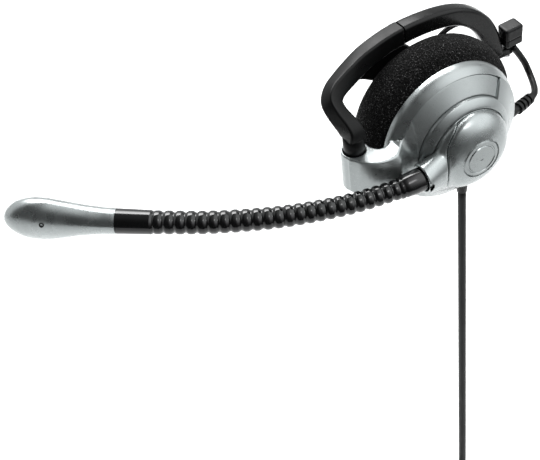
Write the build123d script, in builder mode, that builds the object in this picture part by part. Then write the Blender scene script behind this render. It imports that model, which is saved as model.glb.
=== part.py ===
from build123d import *
import os
from math import cos, sin, tan, radians, degrees, atan2, sqrt, pi, hypot

os.makedirs("parts", exist_ok=True)

# Single-ear communication headset, shown as worn on a left-facing head:
# +Z up, -Y outward (away from the head), -X forward (towards the mouth).
# The origin is the centre of the ear cushion's ear-side face, on the cup axis.
# All sizes are millimetres.

# ---------------------------------------------------------------- dimensions
PAD_DEPTH = 20.0          # from the cushion's ear face out to the rim plane
PAD_R = 31.0              # foam cushion outer radius
RIM_R = 27.0              # cup rim radius
RIM_BACK = 1.5            # rim skirt behind the rim plane
BAND_R1, BAND_H1 = 25.0, 3.9     # outer edge of the brushed band
BAND_R2, BAND_H2 = 18.9, 8.1     # inner edge of the brushed band
BAND_T = 1.3              # band thickness
BAND_A1, BAND_A2 = 43.0, 206.0   # band runs between these angles on the cup
FLOOR_IN, FLOOR_OUT = 7.2, 9.0   # cup floor under the turret
RING_R = 15.6             # turret opening radius
WALL = 1.8

TURRET_R = 15.3
TURRET_TOP = 18.6
BASE_H1, BASE_H2 = 9.4, 11.4
BADGE_R = 7.3
SPINDLE_R = 3.4
SPINDLE_HOLE_R = 3.45
BOOM_H = 14.1             # boom axis height over the rim plane at the socket

HINGE_X, HINGE_Y = -37.3, 3.1    # hook hinge axis, y measured from the rim plane
BARREL_R = 4.8
BARREL_Z1, BARREL_Z2 = -6.3, 9.4
BOSS_R = 3.8              # black boss of the hook in the barrel's mouth
PIN_R = 2.4
BUSH_BORE_R = 2.45

CORD_D = 3.1
LINK_D = 2.0
CORD_X, CORD_YR = 2.5, -4.0      # main cord axis, y measured from the rim plane
CORD_VIEW_Z = -207.0      # the straight hanging stretch reaches this level
COIL_MEAN_R = 17.0
COIL_BUNDLE_R = 6.2

SHEATH_BORE = 2.5
BOOT_LINE = ((26.2, -0.5, -7.0), (40.5, 4.5, -9.2))   # link lead's boot, y behind the rim plane


def yo(h):
    """World y of a station h millimetres outward of the rim plane."""
    return -(PAD_DEPTH + h)


def yr(y):
    """World y of a station given behind the rim plane (towards the head)."""
    return y - PAD_DEPTH


def profile(points):
    """Closed face of revolution in the XY plane: (radius, outward height)."""
    return Polyline(*[(r, yo(h)) for r, h in points], close=True)


def ring_profile(points, axis_plane=Plane.XY):
    """Revolved solid's half section from (radius, height) points."""
    return Polyline(*points, close=True)


def along(p, q):
    """Plane at p looking towards q."""
    d = Vector(*q) - Vector(*p)
    return Plane(origin=p, z_dir=d)



# ================================================================= the cup
with BuildPart() as cup_shell:
    with BuildSketch(Plane.XY):
        with BuildLine():
            profile([(RIM_R, -RIM_BACK), (RIM_R, 0.2), (26.5, 1.9), (25.5, 4.3), (25.0, 4.1),
                     (BAND_R1 - 0.1, BAND_H1), (BAND_R2, BAND_H2), (18.8, 9.2), (18.3, 9.7),
                     (16.4, 11.1), (15.9, 11.3), (RING_R, 11.1), (RING_R, FLOOR_OUT),
                     (SPINDLE_HOLE_R, FLOOR_OUT), (SPINDLE_HOLE_R, FLOOR_IN),
                     (15.8, FLOOR_IN), (17.4, 6.9), (23.2, 2.9), (24.9, 1.4), (25.2, 0.0),
                     (25.2, -RIM_BACK)])
        make_face()
    revolve(axis=Axis.Y)
    # seat of the brushed band
    with BuildSketch(Plane.XY.rotated((0, -BAND_A1 + 0.3, 0))):
        with BuildLine():
            Polyline((BAND_R1 + 0.05, yo(BAND_H1 + 1.6)), (BAND_R1 + 0.05, yo(BAND_H1 - BAND_T - 0.02)),
                     (BAND_R2 - 0.05, yo(BAND_H2 - BAND_T - 0.02)), (BAND_R2 - 0.05, yo(BAND_H2 + 0.1)), close=True)
        make_face()
    revolve(axis=Axis.Y, revolution_arc=-(BAND_A2 - BAND_A1 + 0.6), mode=Mode.SUBTRACT)
    # bore for the main cord's gland, and bore for the link lead's boot
    with Locations(Location((CORD_X, yr(CORD_YR), -20.0))):
        Cylinder(2.2, 16.0, mode=Mode.SUBTRACT)
    with Locations(Plane(origin=(BOOT_LINE[0][0], yr(BOOT_LINE[0][1]), BOOT_LINE[0][2]), z_dir=(14.3, 5.0, -2.2)).location):
        Cylinder(1.85, 9.0, mode=Mode.SUBTRACT)
cup_shell.part.label = "cup_shell"
export_step(cup_shell.part, "parts/cup_shell.step")

# The hinge arm: the brushed band round the cup that runs forward into the
# arm and the upright barrel of the hook's hinge.
arm_plan = [(-16.0, -9.6), (-24.3, -9.8), (-28.6, -9.6), (-32.4, -8.6), (-36.2, -6.6),
            (-39.2, -3.6), (-41.2, 0.2)]
arm_inner = [(-33.6, 3.1), (-32.6, 1.4), (-31.5, -0.6), (-30.2, -2.2), (-28.0, -3.3), (-25.4, -3.6),
             (-21.0, -2.4), (-16.0, 0.0)]
with BuildPart() as hinge_arm:
    with BuildSketch(Plane.XY.offset(BARREL_Z1)):
        with BuildLine():
            Spline(*[(x, yr(y)) for x, y in arm_plan])
            Line((arm_plan[-1][0], yr(arm_plan[-1][1])), (arm_inner[0][0], yr(arm_inner[0][1])))
            Spline(*[(x, yr(y)) for x, y in arm_inner])
            Line((arm_inner[-1][0], yr(arm_inner[-1][1])), (arm_plan[0][0], yr(arm_plan[0][1])))
        make_face()
    extrude(amount=BARREL_Z2 - BARREL_Z1)
    with BuildSketch(Plane.XY.offset(BARREL_Z1)):
        with Locations((HINGE_X, yr(HINGE_Y))):
            Circle(BARREL_R)
    extrude(amount=BARREL_Z2 - BARREL_Z1)
    # upper edge where the arm runs out into the band
    with BuildSketch(Plane.XZ.offset(22.6)):
        with BuildLine():
            Polyline((-33.0, 9.3), (-28.0, 9.8), (-25.0, 10.8), (-22.0, 12.9), (-20.5, 14.5), (-22.0, 9.0), (-33.0, 9.0), close=True)
        make_face()
    extrude(amount=2.4)
    # the cup's outer form, with the band's seat
    with BuildSketch(Plane.XY):
        with BuildLine():
            profile([(0, -8), (27.02, -8), (27.02, 0.2), (26.52, 1.92), (25.52, 4.32), (BAND_R1 + 0.02, 4.2),
                     (BAND_R1 + 0.02, BAND_H1 - BAND_T), (BAND_R2 - 0.02, BAND_H2 - BAND_T),
                     (BAND_R2 - 0.02, 12.0), (0, 12.0)])
        make_face()
    revolve(axis=Axis.Y, mode=Mode.SUBTRACT)
    with BuildSketch(Plane.XY.rotated((0, -BAND_A1, 0))):
        with BuildLine():
            Polyline((BAND_R1, yo(BAND_H1)), (BAND_R1, yo(BAND_H1 - BAND_T + 0.02)),
                     (BAND_R2, yo(BAND_H2 - BAND_T + 0.02)), (BAND_R2, yo(BAND_H2)), close=True)
        make_face()
    revolve(axis=Axis.Y, revolution_arc=-(BAND_A2 - BAND_A1))
    # barrel bore, mouth and cap seat
    with Locations(Location((HINGE_X, yr(HINGE_Y), 0))):
        Cylinder(3.3, 60.0, mode=Mode.SUBTRACT)
    with Locations(Location((HINGE_X, yr(HINGE_Y), BARREL_Z2))):
        Cylinder(BOSS_R + 0.15, 2 * 2.2, mode=Mode.SUBTRACT)
    with Locations(Location((HINGE_X, yr(HINGE_Y), BARREL_Z1))):
        Cylinder(4.0, 2 * 1.2, mode=Mode.SUBTRACT)
hinge_arm.part.label = "hinge_arm"
export_step(hinge_arm.part, "parts/hinge_arm.step")

with BuildPart() as hinge_bush:
    with Locations(Location((HINGE_X, yr(HINGE_Y), 1.6))):
        Cylinder(3.29, 9.8)
        Cylinder(BUSH_BORE_R, 9.8, mode=Mode.SUBTRACT)
hinge_bush.part.label = "hinge_bush"
export_step(hinge_bush.part, "parts/hinge_bush.step")

with BuildPart() as hinge_end_cap:
    with BuildSketch(Plane.XY.offset(BARREL_Z1 - 0.5)):
        with Locations((HINGE_X, yr(HINGE_Y))):
            Circle(3.95)
    extrude(amount=1.65)
    fillet(hinge_end_cap.edges().filter_by(GeomType.CIRCLE).sort_by(Axis.Z)[0], 0.4)
hinge_end_cap.part.label = "hinge_end_cap"
export_step(hinge_end_cap.part, "parts/hinge_end_cap.step")

# ------------------------------------------------------- inside the cup
with BuildPart() as baffle_plate:
    with BuildSketch(Plane.XY):
        with BuildLine():
            profile([(0, -1.5), (25.0, -1.5), (25.0, 0.0), (20.6, 0.0), (20.6, -0.7), (0, -0.7)])
        make_face()
    revolve(axis=Axis.Y)
    with Locations(Plane(origin=(0, yr(1.6), 0), z_dir=(0, -1, 0)).location):
        with PolarLocations(7.0, 8):
            Cylinder(1.3, 6.0, mode=Mode.SUBTRACT)
        with PolarLocations(13.5, 14):
            Cylinder(1.3, 6.0, mode=Mode.SUBTRACT)
        Cylinder(1.6, 6.0, mode=Mode.SUBTRACT)
        with PolarLocations(22.6, 3, start_angle=30):
            Cylinder(1.25, 6.0, mode=Mode.SUBTRACT)
baffle_plate.part.label = "baffle_plate"
export_step(baffle_plate.part, "parts/baffle_plate.step")

with BuildPart() as speaker_frame:
    with BuildSketch(Plane.XY):
        with BuildLine():
            profile([(19.8, -0.65), (20.4, -0.65), (20.4, 0.9), (17.2, 0.9), (11.4, 3.2), (9.2, 3.2),
                     (9.2, 2.6), (11.0, 2.6), (16.9, 0.3), (19.8, 0.3)])
        make_face()
    revolve(axis=Axis.Y)
speaker_frame.part.label = "speaker_frame"
export_step(speaker_frame.part, "parts/speaker_frame.step")

with BuildPart() as speaker_magnet:
    with BuildSketch(Plane.XY):
        with BuildLine():
            profile([(0, 2.0), (9.0, 2.0), (9.0, 5.0), (0, 5.0)])
        make_face()
    revolve(axis=Axis.Y)
    fillet(speaker_magnet.edges().filter_by(GeomType.CIRCLE).sort_by(Axis.Y)[0], 0.5)
speaker_magnet.part.label = "speaker_magnet"
export_step(speaker_magnet.part, "parts/speaker_magnet.step")

with BuildPart() as speaker_cone:
    with BuildSketch(Plane.XY):
        with BuildLine():
            profile([(0, -0.3), (5.0, 0.6), (6.2, 1.2), (18.4, -0.35), (19.6, -0.35), (19.6, -0.1),
                     (18.4, -0.1), (6.4, 1.5), (5.0, 1.2), (0, 0.1)])
        make_face()
    revolve(axis=Axis.Y)
speaker_cone.part.label = "speaker_cone"
export_step(speaker_cone.part, "parts/speaker_cone.step")

with BuildPart() as speaker_cloth:
    with BuildSketch(Plane.XY):
        with BuildLine():
            profile([(0, -1.9), (19.0, -1.9), (19.0, -1.5), (0, -1.5)])
        make_face()
    revolve(axis=Axis.Y)
speaker_cloth.part.label = "speaker_cloth"
export_step(speaker_cloth.part, "parts/speaker_cloth.step")

with BuildPart() as baffle_screws:
    with Locations(Plane(origin=(0, yr(1.5), 0), z_dir=(0, -1, 0)).location):
        with PolarLocations(22.6, 3, start_angle=30):
            with Locations((0, 0, 1.3)):
                Cylinder(1.2, 3.6)
            with Locations((0, 0, -0.25)):
                Cylinder(2.0, 0.5)
    with Locations(Plane(origin=(0, yr(2.1), 0), z_dir=(0, -1, 0)).location):
        with PolarLocations(22.6, 3, start_angle=30):
            Box(2.2, 0.5, 0.6, mode=Mode.SUBTRACT)
            Box(0.5, 2.2, 0.6, mode=Mode.SUBTRACT)
baffle_screws.part.label = "baffle_screws"
export_step(baffle_screws.part, "parts/baffle_screws.step")

with BuildPart() as circuit_board:
    with Locations(Location((0, yo(4.4), 15.5), (90, 0, 0))):
        Box(14.0, 6.4, 1.0)
        with GridLocations(11.6, 4.2, 2, 2):
            Cylinder(0.5, 3.0, mode=Mode.SUBTRACT)
circuit_board.part.label = "circuit_board"
export_step(circuit_board.part, "parts/circuit_board.step")

with BuildPart() as board_parts:
    with Locations(Location((0, yo(3.5), 15.5))):
        with Locations((-3.0, 0, 0.5)):
            Box(4.0, 0.8, 4.0)
        with Locations((2.4, 0, 1.4)):
            Box(1.6, 0.8, 1.0)
        with Locations((2.4, 0, -1.2)):
            Box(1.6, 0.8, 1.0)
        with Locations((5.6, 0, 0.0)):
            Box(2.0, 0.8, 1.4)
board_parts.part.label = "board_parts"
export_step(board_parts.part, "parts/board_parts.step")

# cushion and its clamp ring
with BuildPart() as pad_ring:
    with BuildSketch(Plane.XY):
        with BuildLine():
            profile([(20.0, -2.1), (26.2, -2.1), (26.2, -1.55), (25.1, -1.55), (25.1, -1.52), (24.9, -1.52), (20.0, -1.52)])
        make_face()
    revolve(axis=Axis.Y)
    with Locations(Plane(origin=(0, yr(1.8), 0), z_dir=(0, -1, 0)).location):
        with PolarLocations(22.6, 3, start_angle=30):
            Cylinder(2.2, 3.0, mode=Mode.SUBTRACT)
pad_ring.part.label = "pad_ring"
export_step(pad_ring.part, "parts/pad_ring.step")

with BuildPart() as ear_pad:
    with BuildSketch(Plane.XY):
        with BuildLine():
            l1 = Line((0, yr(2.4)), (27.0, yr(2.4)))
            l2 = Spline((27.0, yr(2.4)), (30.0, yr(5.4)), (PAD_R, yr(10.5)), (29.8, yr(15.6)), (26.5, yr(18.9)),
                        (22.0, yr(20.0)), tangents=((1.0, 0.25), (-1.0, 0.0)))
            l3 = Spline((22.0, yr(20.0)), (17.5, yr(18.6)), (13.5, yr(15.4)), (9.0, yr(13.6)), (0, yr(13.2)),
                        tangents=((-1.0, 0.0), (-1.0, 0.0)))
            l4 = Line((0, yr(13.2)), (0, yr(2.4)))
        make_face()
    revolve(axis=Axis.Y)
ear_pad.part.label = "ear_pad"
export_step(ear_pad.part, "parts/ear_pad.step")

# ================================================================= the turret
DOME = [(15.3, 11.4), (15.1, 12.9), (14.5, 14.2), (13.3, 15.6), (11.6, 16.9), (9.6, 17.9), (7.6, TURRET_TOP)]
SEAM = [(3.0, 15.6), (-1.0, 15.0), (-4.0, 13.7), (-6.5, 11.5), (-8.3, 8.8), (-9.6, 5.5),
        (-10.6, 1.0), (-11.2, -4.0), (-11.6, -9.0), (-11.5, -11.5)]

with BuildPart() as turret_dome:
    with BuildSketch(Plane.XY):
        with BuildLine():
            Spline(*[(r, yo(h)) for r, h in DOME])
            Polyline((7.6, yo(TURRET_TOP)), (7.6, yo(TURRET_TOP - 1.1)), (3.8, yo(TURRET_TOP - 1.1)),
                     (3.8, yo(TURRET_TOP - 2.8)), (9.0, yo(TURRET_TOP - 2.8)), (11.4, yo(14.6)), (13.4, yo(12.6)),
                     (13.5, yo(11.4)), (15.3, yo(11.4)))
        make_face()
    revolve(axis=Axis.Y)
    with BuildSketch(Plane.XZ.offset(-yo(8.0))):
        with BuildLine():
            Spline(*SEAM)
            Polyline((-11.5, -11.5), (-8.0, -22.0), (22.0, -22.0), (22.0, 20.0), (3.0, 20.0), (3.0, 15.6))
        make_face()
    extrude(amount=14.0, mode=Mode.INTERSECT)
turret_dome.part.label = "turret_dome"
export_step(turret_dome.part, "parts/turret_dome.step")

with BuildPart() as turret_base:
    # flat base disc with the spindle's seat
    with BuildSketch(Plane.XY):
        with BuildLine():
            profile([(SPINDLE_R + 0.02, BASE_H1), (TURRET_R, BASE_H1), (TURRET_R, BASE_H2 - 0.05),
                     (SPINDLE_R + 0.02, BASE_H2 - 0.05)])
        make_face()
    revolve(axis=Axis.Y)
    # the socket that flares from the ferrule into the dome
    with BuildSketch(Plane(origin=(-26.4, yo(BOOM_H), 0), x_dir=(0, 0, 1), z_dir=(1, 0, 0))):
        Circle(4.05)
    with BuildSketch(Plane(origin=(-20.0, yo(13.9), -0.3), x_dir=(0, 0, 1), z_dir=(1, 0, 0))):
        Ellipse(5.0, 4.3)
    with BuildSketch(Plane(origin=(-14.0, yo(13.4), -1.4), x_dir=(0, 0, 1), z_dir=(1, 0, 0))):
        Ellipse(7.4, 4.2)
    with BuildSketch(Plane(origin=(-8.0, yo(12.6), -2.6), x_dir=(0, 0, 1), z_dir=(1, 0, 0))):
        Ellipse(10.2, 4.2)
    loft()
    # clearance over the cup's inner ring, the band and the arm through the whole swing
    with BuildSketch(Plane.XY):
        with BuildLine():
            profile([(0, 4.0), (32.0, 4.0), (32.0, 10.05), (19.2, 10.05), (16.8, 11.65), (TURRET_R, 11.65), (TURRET_R, BASE_H1), (0, BASE_H1)])
        make_face()
    revolve(axis=Axis.Y, mode=Mode.SUBTRACT)
    # everything on the dome's side of the seam stays at the base disc's level
    with BuildSketch(Plane.XZ.offset(-yo(BASE_H2 - 0.05))):
        with BuildLine():
            Spline(*[(x - 0.12, z) for x, z in SEAM])
            Polyline((-11.62, -11.5), (-8.0, -22.0), (22.0, -22.0), (22.0, 20.0), (2.88, 20.0), (2.88, 15.6))
        make_face()
    extrude(amount=14.0, mode=Mode.SUBTRACT)
    # bore for the ferrule and the wires
    with Locations(Location((-23.4, yo(BOOM_H), 0), (0, 90, 0))):
        Cylinder(3.0, 8.0, mode=Mode.SUBTRACT)
    with Locations(Location((-16.0, yo(BOOM_H), 0), (0, 90, 0))):
        Cylinder(1.6, 14.0, mode=Mode.SUBTRACT)
turret_base.part.label = "turret_base"
export_step(turret_base.part, "parts/turret_base.step")

with BuildPart() as badge_disc:
    with BuildSketch(Plane.XY):
        with BuildLine():
            profile([(0, TURRET_TOP - 1.0), (BADGE_R, TURRET_TOP - 1.0), (BADGE_R, TURRET_TOP - 0.25),
                     (BADGE_R - 0.4, TURRET_TOP + 0.05), (5.9, TURRET_TOP + 0.15), (5.7, TURRET_TOP - 0.1),
                     (5.3, TURRET_TOP - 0.1), (5.1, TURRET_TOP + 0.2), (0, TURRET_TOP + 0.35)])
        make_face()
    revolve(axis=Axis.Y)
badge_disc.part.label = "badge_disc"
export_step(badge_disc.part, "parts/badge_disc.step")

with BuildPart() as turret_spindle:
    with BuildSketch(Plane.XY):
        with BuildLine():
            profile([(2.1, 5.4), (SPINDLE_R, 5.4), (SPINDLE_R, BASE_H2 - 0.05), (6.5, BASE_H2 - 0.05), (6.5, 12.6), (2.1, 12.6)])
        make_face()
    revolve(axis=Axis.Y)
turret_spindle.part.label = "turret_spindle"
export_step(turret_spindle.part, "parts/turret_spindle.step")

with BuildPart() as turret_nut:
    with BuildSketch(Plane.XZ.offset(-yo(5.5))):
        RegularPolygon(5.4, 6)
        Circle(SPINDLE_R + 0.02, mode=Mode.SUBTRACT)
    extrude(amount=1.1)
turret_nut.part.label = "turret_nut"
export_step(turret_nut.part, "parts/turret_nut.step")

with BuildPart() as spring_washer:
    with BuildSketch(Plane.XZ.offset(-yo(6.62))):
        Circle(6.4)
        Circle(SPINDLE_R + 0.06, mode=Mode.SUBTRACT)
    extrude(amount=0.5)
spring_washer.part.label = "spring_washer"
export_step(spring_washer.part, "parts/spring_washer.step")

with BuildPart() as friction_washer:
    with BuildSketch(Plane.XZ.offset(-yo(9.02))):
        Circle(13.0)
        Circle(8.0, mode=Mode.SUBTRACT)
    extrude(amount=0.36)
friction_washer.part.label = "friction_washer"
export_step(friction_washer.part, "parts/friction_washer.step")

# ================================================================= the boom
# The boom lies level at rest and bends inwards, towards the mouth.
BOOM_Z = 0.0
B_FERRULE = (-26.4, -14.1)                      # (x, y behind the rim plane)
B_STATIONS = [(-30.92, -13.74), (-46.94, -10.15), (-62.98, -4.18), (-75.72, 2.09), (-91.34, 11.75),
              (-106.58, 23.19)]                 # sheath start, four bends, sheath end
B_RIBS = [5, 5, 4, 5, 5]                        # ribs in each sheath segment
B_RADII = [3.55, 3.7, 3.85, 4.0, 4.15]          # rib radius in each segment
M_START = (-116.08, 31.01)                      # microphone shell starts here
M_TIP = (-147.1, 56.66)


def bp(p):
    return (p[0], yr(p[1]), BOOM_Z)


def link_plane(p, q):
    """Plane holding the line p-q: local x runs along the line, local y across it."""
    return Plane(origin=bp(p), x_dir=Vector(*bp(q)) - Vector(*bp(p)), z_dir=(0, 0, 1))


def link_axis(p, q):
    return Axis(bp(p), Vector(*bp(q)) - Vector(*bp(p)))


def dist(p, q):
    return hypot(q[0] - p[0], q[1] - p[1])


with BuildPart() as boom_ferrule:
    with BuildSketch(link_plane(B_FERRULE, B_STATIONS[0])):
        L = dist(B_FERRULE, B_STATIONS[0])
        with BuildLine():
            Polyline((-3.2, 1.5), (-3.2, 2.6), (0.4, 2.6), (0.4, 3.65), (0.8, 3.75), (L - 0.9, 3.45), (L - 0.15, 3.2),
                     (L - 0.15, 1.5), close=True)
        make_face()
    revolve(axis=link_axis(B_FERRULE, B_STATIONS[0]))
boom_ferrule.part.label = "boom_ferrule"
export_step(boom_ferrule.part, "parts/boom_ferrule.step")

for k in range(5):
    P, Q = B_STATIONS[k], B_STATIONS[k + 1]
    L, n, R = dist(P, Q), B_RIBS[k], B_RADII[k]
    pitch = L / n
    with BuildPart() as sheath:
        with BuildSketch(link_plane(P, Q)):
            a = 0.25 * pitch
            pts = [(a, SHEATH_BORE)]
            for i in range(n):
                c = (i + 0.5) * pitch
                pts += [(c - 0.25 * pitch, R - 0.75), (c - 0.25 * pitch, R - 0.4), (c - 0.12 * pitch, R),
                        (c + 0.12 * pitch, R), (c + 0.25 * pitch, R - 0.4), (c + 0.25 * pitch, R - 0.75)]
            pts += [(L - a, SHEATH_BORE)]
            with BuildLine():
                Polyline(*pts, close=True)
            make_face()
        revolve(axis=link_axis(P, Q))
    sheath.part.label = "boom_sheath_%d" % (k + 1)
    export_step(sheath.part, "parts/boom_sheath_%d.step" % (k + 1))

    # jointed core: a ball at the far end, a socket at the near end
    u = (Vector(*bp(Q)) - Vector(*bp(P))).normalized()
    near = 0.2 if k == 0 else 1.9
    far = L - 3.0 if k < 4 else L + 3.0
    with BuildPart() as core:
        with BuildSketch(Plane(origin=Vector(*bp(P)) + u * near, z_dir=u)):
            Circle(1.35)
        extrude(amount=far - near)
        if k > 0:
            with BuildSketch(Plane(origin=Vector(*bp(P)) - u * 0.7, z_dir=u)):
                Circle(2.15)
            extrude(amount=3.3)
            with Locations(Plane(origin=bp(P), z_dir=u).location):
                Sphere(1.62, mode=Mode.SUBTRACT)
            with BuildSketch(Plane(origin=Vector(*bp(P)) - u * 0.8, z_dir=u)):
                Circle(1.46)
            extrude(amount=0.9, mode=Mode.SUBTRACT)
        if k < 4:
            with BuildSketch(Plane(origin=Vector(*bp(P)) + u * (far - 0.1), z_dir=u)):
                Circle(0.75)
            extrude(amount=L - far)
            with Locations(Plane(origin=bp(Q), z_dir=u).location):
                Sphere(1.52)
    core.part.label = "boom_core_%d" % (k + 1)
    export_step(core.part, "parts/boom_core_%d.step" % (k + 1))

with BuildPart() as mic_sleeve:
    with BuildSketch(link_plane(B_STATIONS[5], M_START)):
        L = dist(B_STATIONS[5], M_START)
        with BuildLine():
            Polyline((-0.75, 2.6), (-0.75, 3.6), (0.3, 4.25), (L - 0.05, 4.45), (L - 0.05, 3.25), (L + 4.0, 3.25), (L + 4.0, 1.42),
                     (4.0, 1.42), (4.0, 2.6), close=True)
        make_face()
    revolve(axis=link_axis(B_STATIONS[5], M_START))
mic_sleeve.part.label = "mic_sleeve"
export_step(mic_sleeve.part, "parts/mic_sleeve.step")

# microphone capsule shell: (station, half thickness, half height)
MIC = [(0.0, 4.5, 4.5), (5.0, 4.6, 4.75), (11.5, 4.9, 5.7), (18.4, 5.4, 7.15), (24.7, 5.8, 8.4), (30.0, 5.75, 8.35),
       (35.0, 4.9, 6.75), (38.4, 3.2, 4.0), (40.2, 1.0, 1.2)]
mdir = (Vector(*bp(M_TIP)) - Vector(*bp(M_START))).normalized()
mout = Vector(mdir.Y, -mdir.X, 0) if mdir.X > 0 else Vector(-mdir.Y, mdir.X, 0)


def mic_plane(s):
    return Plane(origin=Vector(*bp(M_START)) + mdir * s, x_dir=mout, z_dir=mdir)


with BuildPart() as mic_shell:
    for s, a, b in MIC:
        with BuildSketch(mic_plane(s)):
            Ellipse(a, b)
    loft()
    for s, a, b in [(-0.2, 3.35, 3.35), (4.4, 3.4, 3.4)]:
        with BuildSketch(mic_plane(s)):
            Ellipse(a, b)
    loft(mode=Mode.SUBTRACT)
    for s, a, b in [(4.3, 3.4, 3.4), (11.5, 3.7, 4.4), (18.4, 4.2, 5.9), (24.7, 4.6, 7.1), (30.0, 4.5, 7.0), (35.0, 3.5, 5.2)]:
        with BuildSketch(mic_plane(s)):
            Ellipse(a, b)
    loft(mode=Mode.SUBTRACT)
    port = Vector(*bp(M_START)) + mdir * 24.9
    pdir = mout * cos(radians(24)) + Vector(0, 0, 1) * sin(radians(24))
    with Locations(Plane(origin=port + pdir * 5.0, z_dir=pdir).location):
        Cylinder(0.9, 8.0, mode=Mode.SUBTRACT)
mic_shell.part.label = "mic_shell"
export_step(mic_shell.part, "parts/mic_shell.step")

with BuildPart() as mic_port_ring:
    with BuildSketch(Plane(origin=port + pdir * 4.9, z_dir=pdir)):
        Circle(0.88)
        Circle(0.5, mode=Mode.SUBTRACT)
    extrude(amount=1.35)
mic_port_ring.part.label = "mic_port_ring"
export_step(mic_port_ring.part, "parts/mic_port_ring.step")

with BuildPart() as mic_holder:
    with BuildSketch(mic_plane(20.5)):
        RectangleRounded(6.0, 9.0, 1.0)
    extrude(amount=9.0)
    with BuildSketch(mic_plane(20.0)):
        Circle(0.01 + 2.3)
    extrude(amount=10.0, mode=Mode.SUBTRACT)
mic_holder.part.label = "mic_holder"
export_step(mic_holder.part, "parts/mic_holder.step")

with BuildPart() as mic_element:
    with BuildSketch(mic_plane(22.0)):
        Circle(2.3)
    extrude(amount=6.0)
mic_element.part.label = "mic_element"
export_step(mic_element.part, "parts/mic_element.step")

# ================================================================= the hook
# stations of the bar: (x, y behind the rim plane, z, width across, radial thickness)
HOOK = [(HINGE_X, HINGE_Y, 15.4, 7.0, 6.6), (-37.6, 3.6, 17.6, 6.6, 6.2), (-38.6, 5.0, 20.2, 6.0, 5.8), (-40.0, 7.9, 23.8, 5.6, 5.6),
        (-39.8, 11.2, 26.4, 5.5, 6.0), (-36.7, 14.0, 27.8, 5.5, 6.3), (-31.9, 16.3, 28.4, 5.6, 6.6),
        (-27.3, 18.2, 28.8, 5.7, 6.8), (-20.5, 20.6, 29.5, 5.8, 6.9), (-12.1, 22.15, 30.3, 5.8, 7.0),
        (-3.8, 22.95, 30.55, 5.8, 7.2), (4.3, 23.15, 30.3, 5.8, 7.0), (12.8, 23.2, 29.15, 5.7, 6.9),
        (20.1, 23.4, 26.7, 5.5, 6.9), (26.2, 23.5, 22.7, 5.4, 7.0), (31.0, 23.6, 17.4, 5.4, 7.2),
        (34.2, 23.6, 11.4, 5.4, 7.0), (36.4, 23.6, 5.3, 5.4, 6.4), (37.8, 23.6, 0.0, 5.2, 5.6)]
SPLIT = 10                # the front and rear parts meet at this station


def between(i):
    """A station half way from i to i + 1 on a smooth curve through its neighbours."""
    a, b, c, d = HOOK[max(i - 1, 0)], HOOK[i], HOOK[i + 1], HOOK[i + 2]
    return tuple((9 * (q + r) - (p + t)) / 16 for p, q, r, t in zip(a, b, c, d))


def hook_plane(i, shift=0.0, stations=HOOK):
    a = stations[max(i - 1, 0)]
    b = stations[min(i + 1, len(stations) - 1)]
    p = stations[i]
    tan_v = (Vector(b[0], b[1], b[2]) - Vector(a[0], a[1], a[2])).normalized()
    if i == 0:
        tan_v = Vector(0, 0, 1)
    rad = Vector(p[0], 0, p[2] + 4.0)
    rad = (rad - tan_v * rad.dot(tan_v)).normalized()
    across = tan_v.cross(rad)
    o = Vector(p[0], yr(p[1]), p[2]) + tan_v * shift
    return Plane(origin=o, x_dir=across, z_dir=tan_v)


FRONT = []
for i in range(0, SPLIT):
    FRONT.append(HOOK[i])
    if i > 0:
        FRONT.append(between(i))
FRONT.append(HOOK[SPLIT])

with BuildPart() as hook_front:
    for i in range(0, len(FRONT)):
        with BuildSketch(hook_plane(i, -0.1 if i == len(FRONT) - 1 else 0.0, FRONT)):
            RectangleRounded(FRONT[i][3], FRONT[i][4], 1.2)
    loft(ruled=True)
    # boss that turns in the barrel's mouth
    with BuildSketch(Plane.XY.offset(7.5)):
        with Locations((HINGE_X, yr(HINGE_Y))):
            Circle(BOSS_R)
    extrude(amount=7.9)
    # web that runs in behind the cushion
    with BuildSketch(Plane.XZ.offset(-yr(21.6))):
        with BuildLine():
            Polyline((-27.0, 27.6), (-23.5, 20.4), (-19.5, 18.4), (-15.5, 15.5), (-10.0, 11.8), (-3.0, 11.4),
                     (1.0, 15.0), (1.3, 20.0), (-0.4, 23.4), (-3.9, 26.0), (-4.6, 29.4), (-14.0, 29.4), (-21.0, 29.2), close=True)
        make_face()
    extrude(amount=-2.8)
    with Locations(Location((HINGE_X, yr(HINGE_Y), 10.0))):
        Cylinder(PIN_R + 0.01, 10.0, mode=Mode.SUBTRACT)
    print("hook_front", hook_front.part.is_valid, hook_front.part.volume)
hook_front.part.label = "hook_front"
export_step(hook_front.part, "parts/hook_front.step")

with BuildPart() as hook_rear:
    for i in range(SPLIT, len(HOOK)):
        with BuildSketch(hook_plane(i, 0.1 if i == SPLIT else 0.0)):
            RectangleRounded(HOOK[i][3], HOOK[i][4], 1.3)
    loft()
    # foot of the bar that carries the tail block
    with BuildSketch(Plane.XY.offset(-1.6)):
        with Locations((40.7, yr(23.6))):
            RectangleRounded(9.4, 5.0, 1.5)
    extrude(amount=3.2)
    with BuildSketch(Plane.XY.offset(1.5)):
        with Locations((43.5, yr(23.6))):
            Circle(1.5)
    extrude(amount=2.05)
    # thin inner loop
    with BuildLine():
        loop = Spline((28.5, yr(24.0), 19.0), (24.0, yr(24.0), 20.9), (20.0, yr(24.0), 21.6), (15.4, yr(24.0), 20.8),
                      (11.5, yr(24.0), 17.6), (10.4, yr(24.0), 12.6), (13.5, yr(24.0), 7.4), (20.0, yr(24.0), 4.4),
                      (28.0, yr(24.0), 3.4), (35.5, yr(24.0), 3.8))
    with BuildSketch(Plane(origin=loop @ 0, z_dir=loop % 0)):
        Circle(0.95)
    sweep()
hook_rear.part.label = "hook_rear"
export_step(hook_rear.part, "parts/hook_rear.step")

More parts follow.
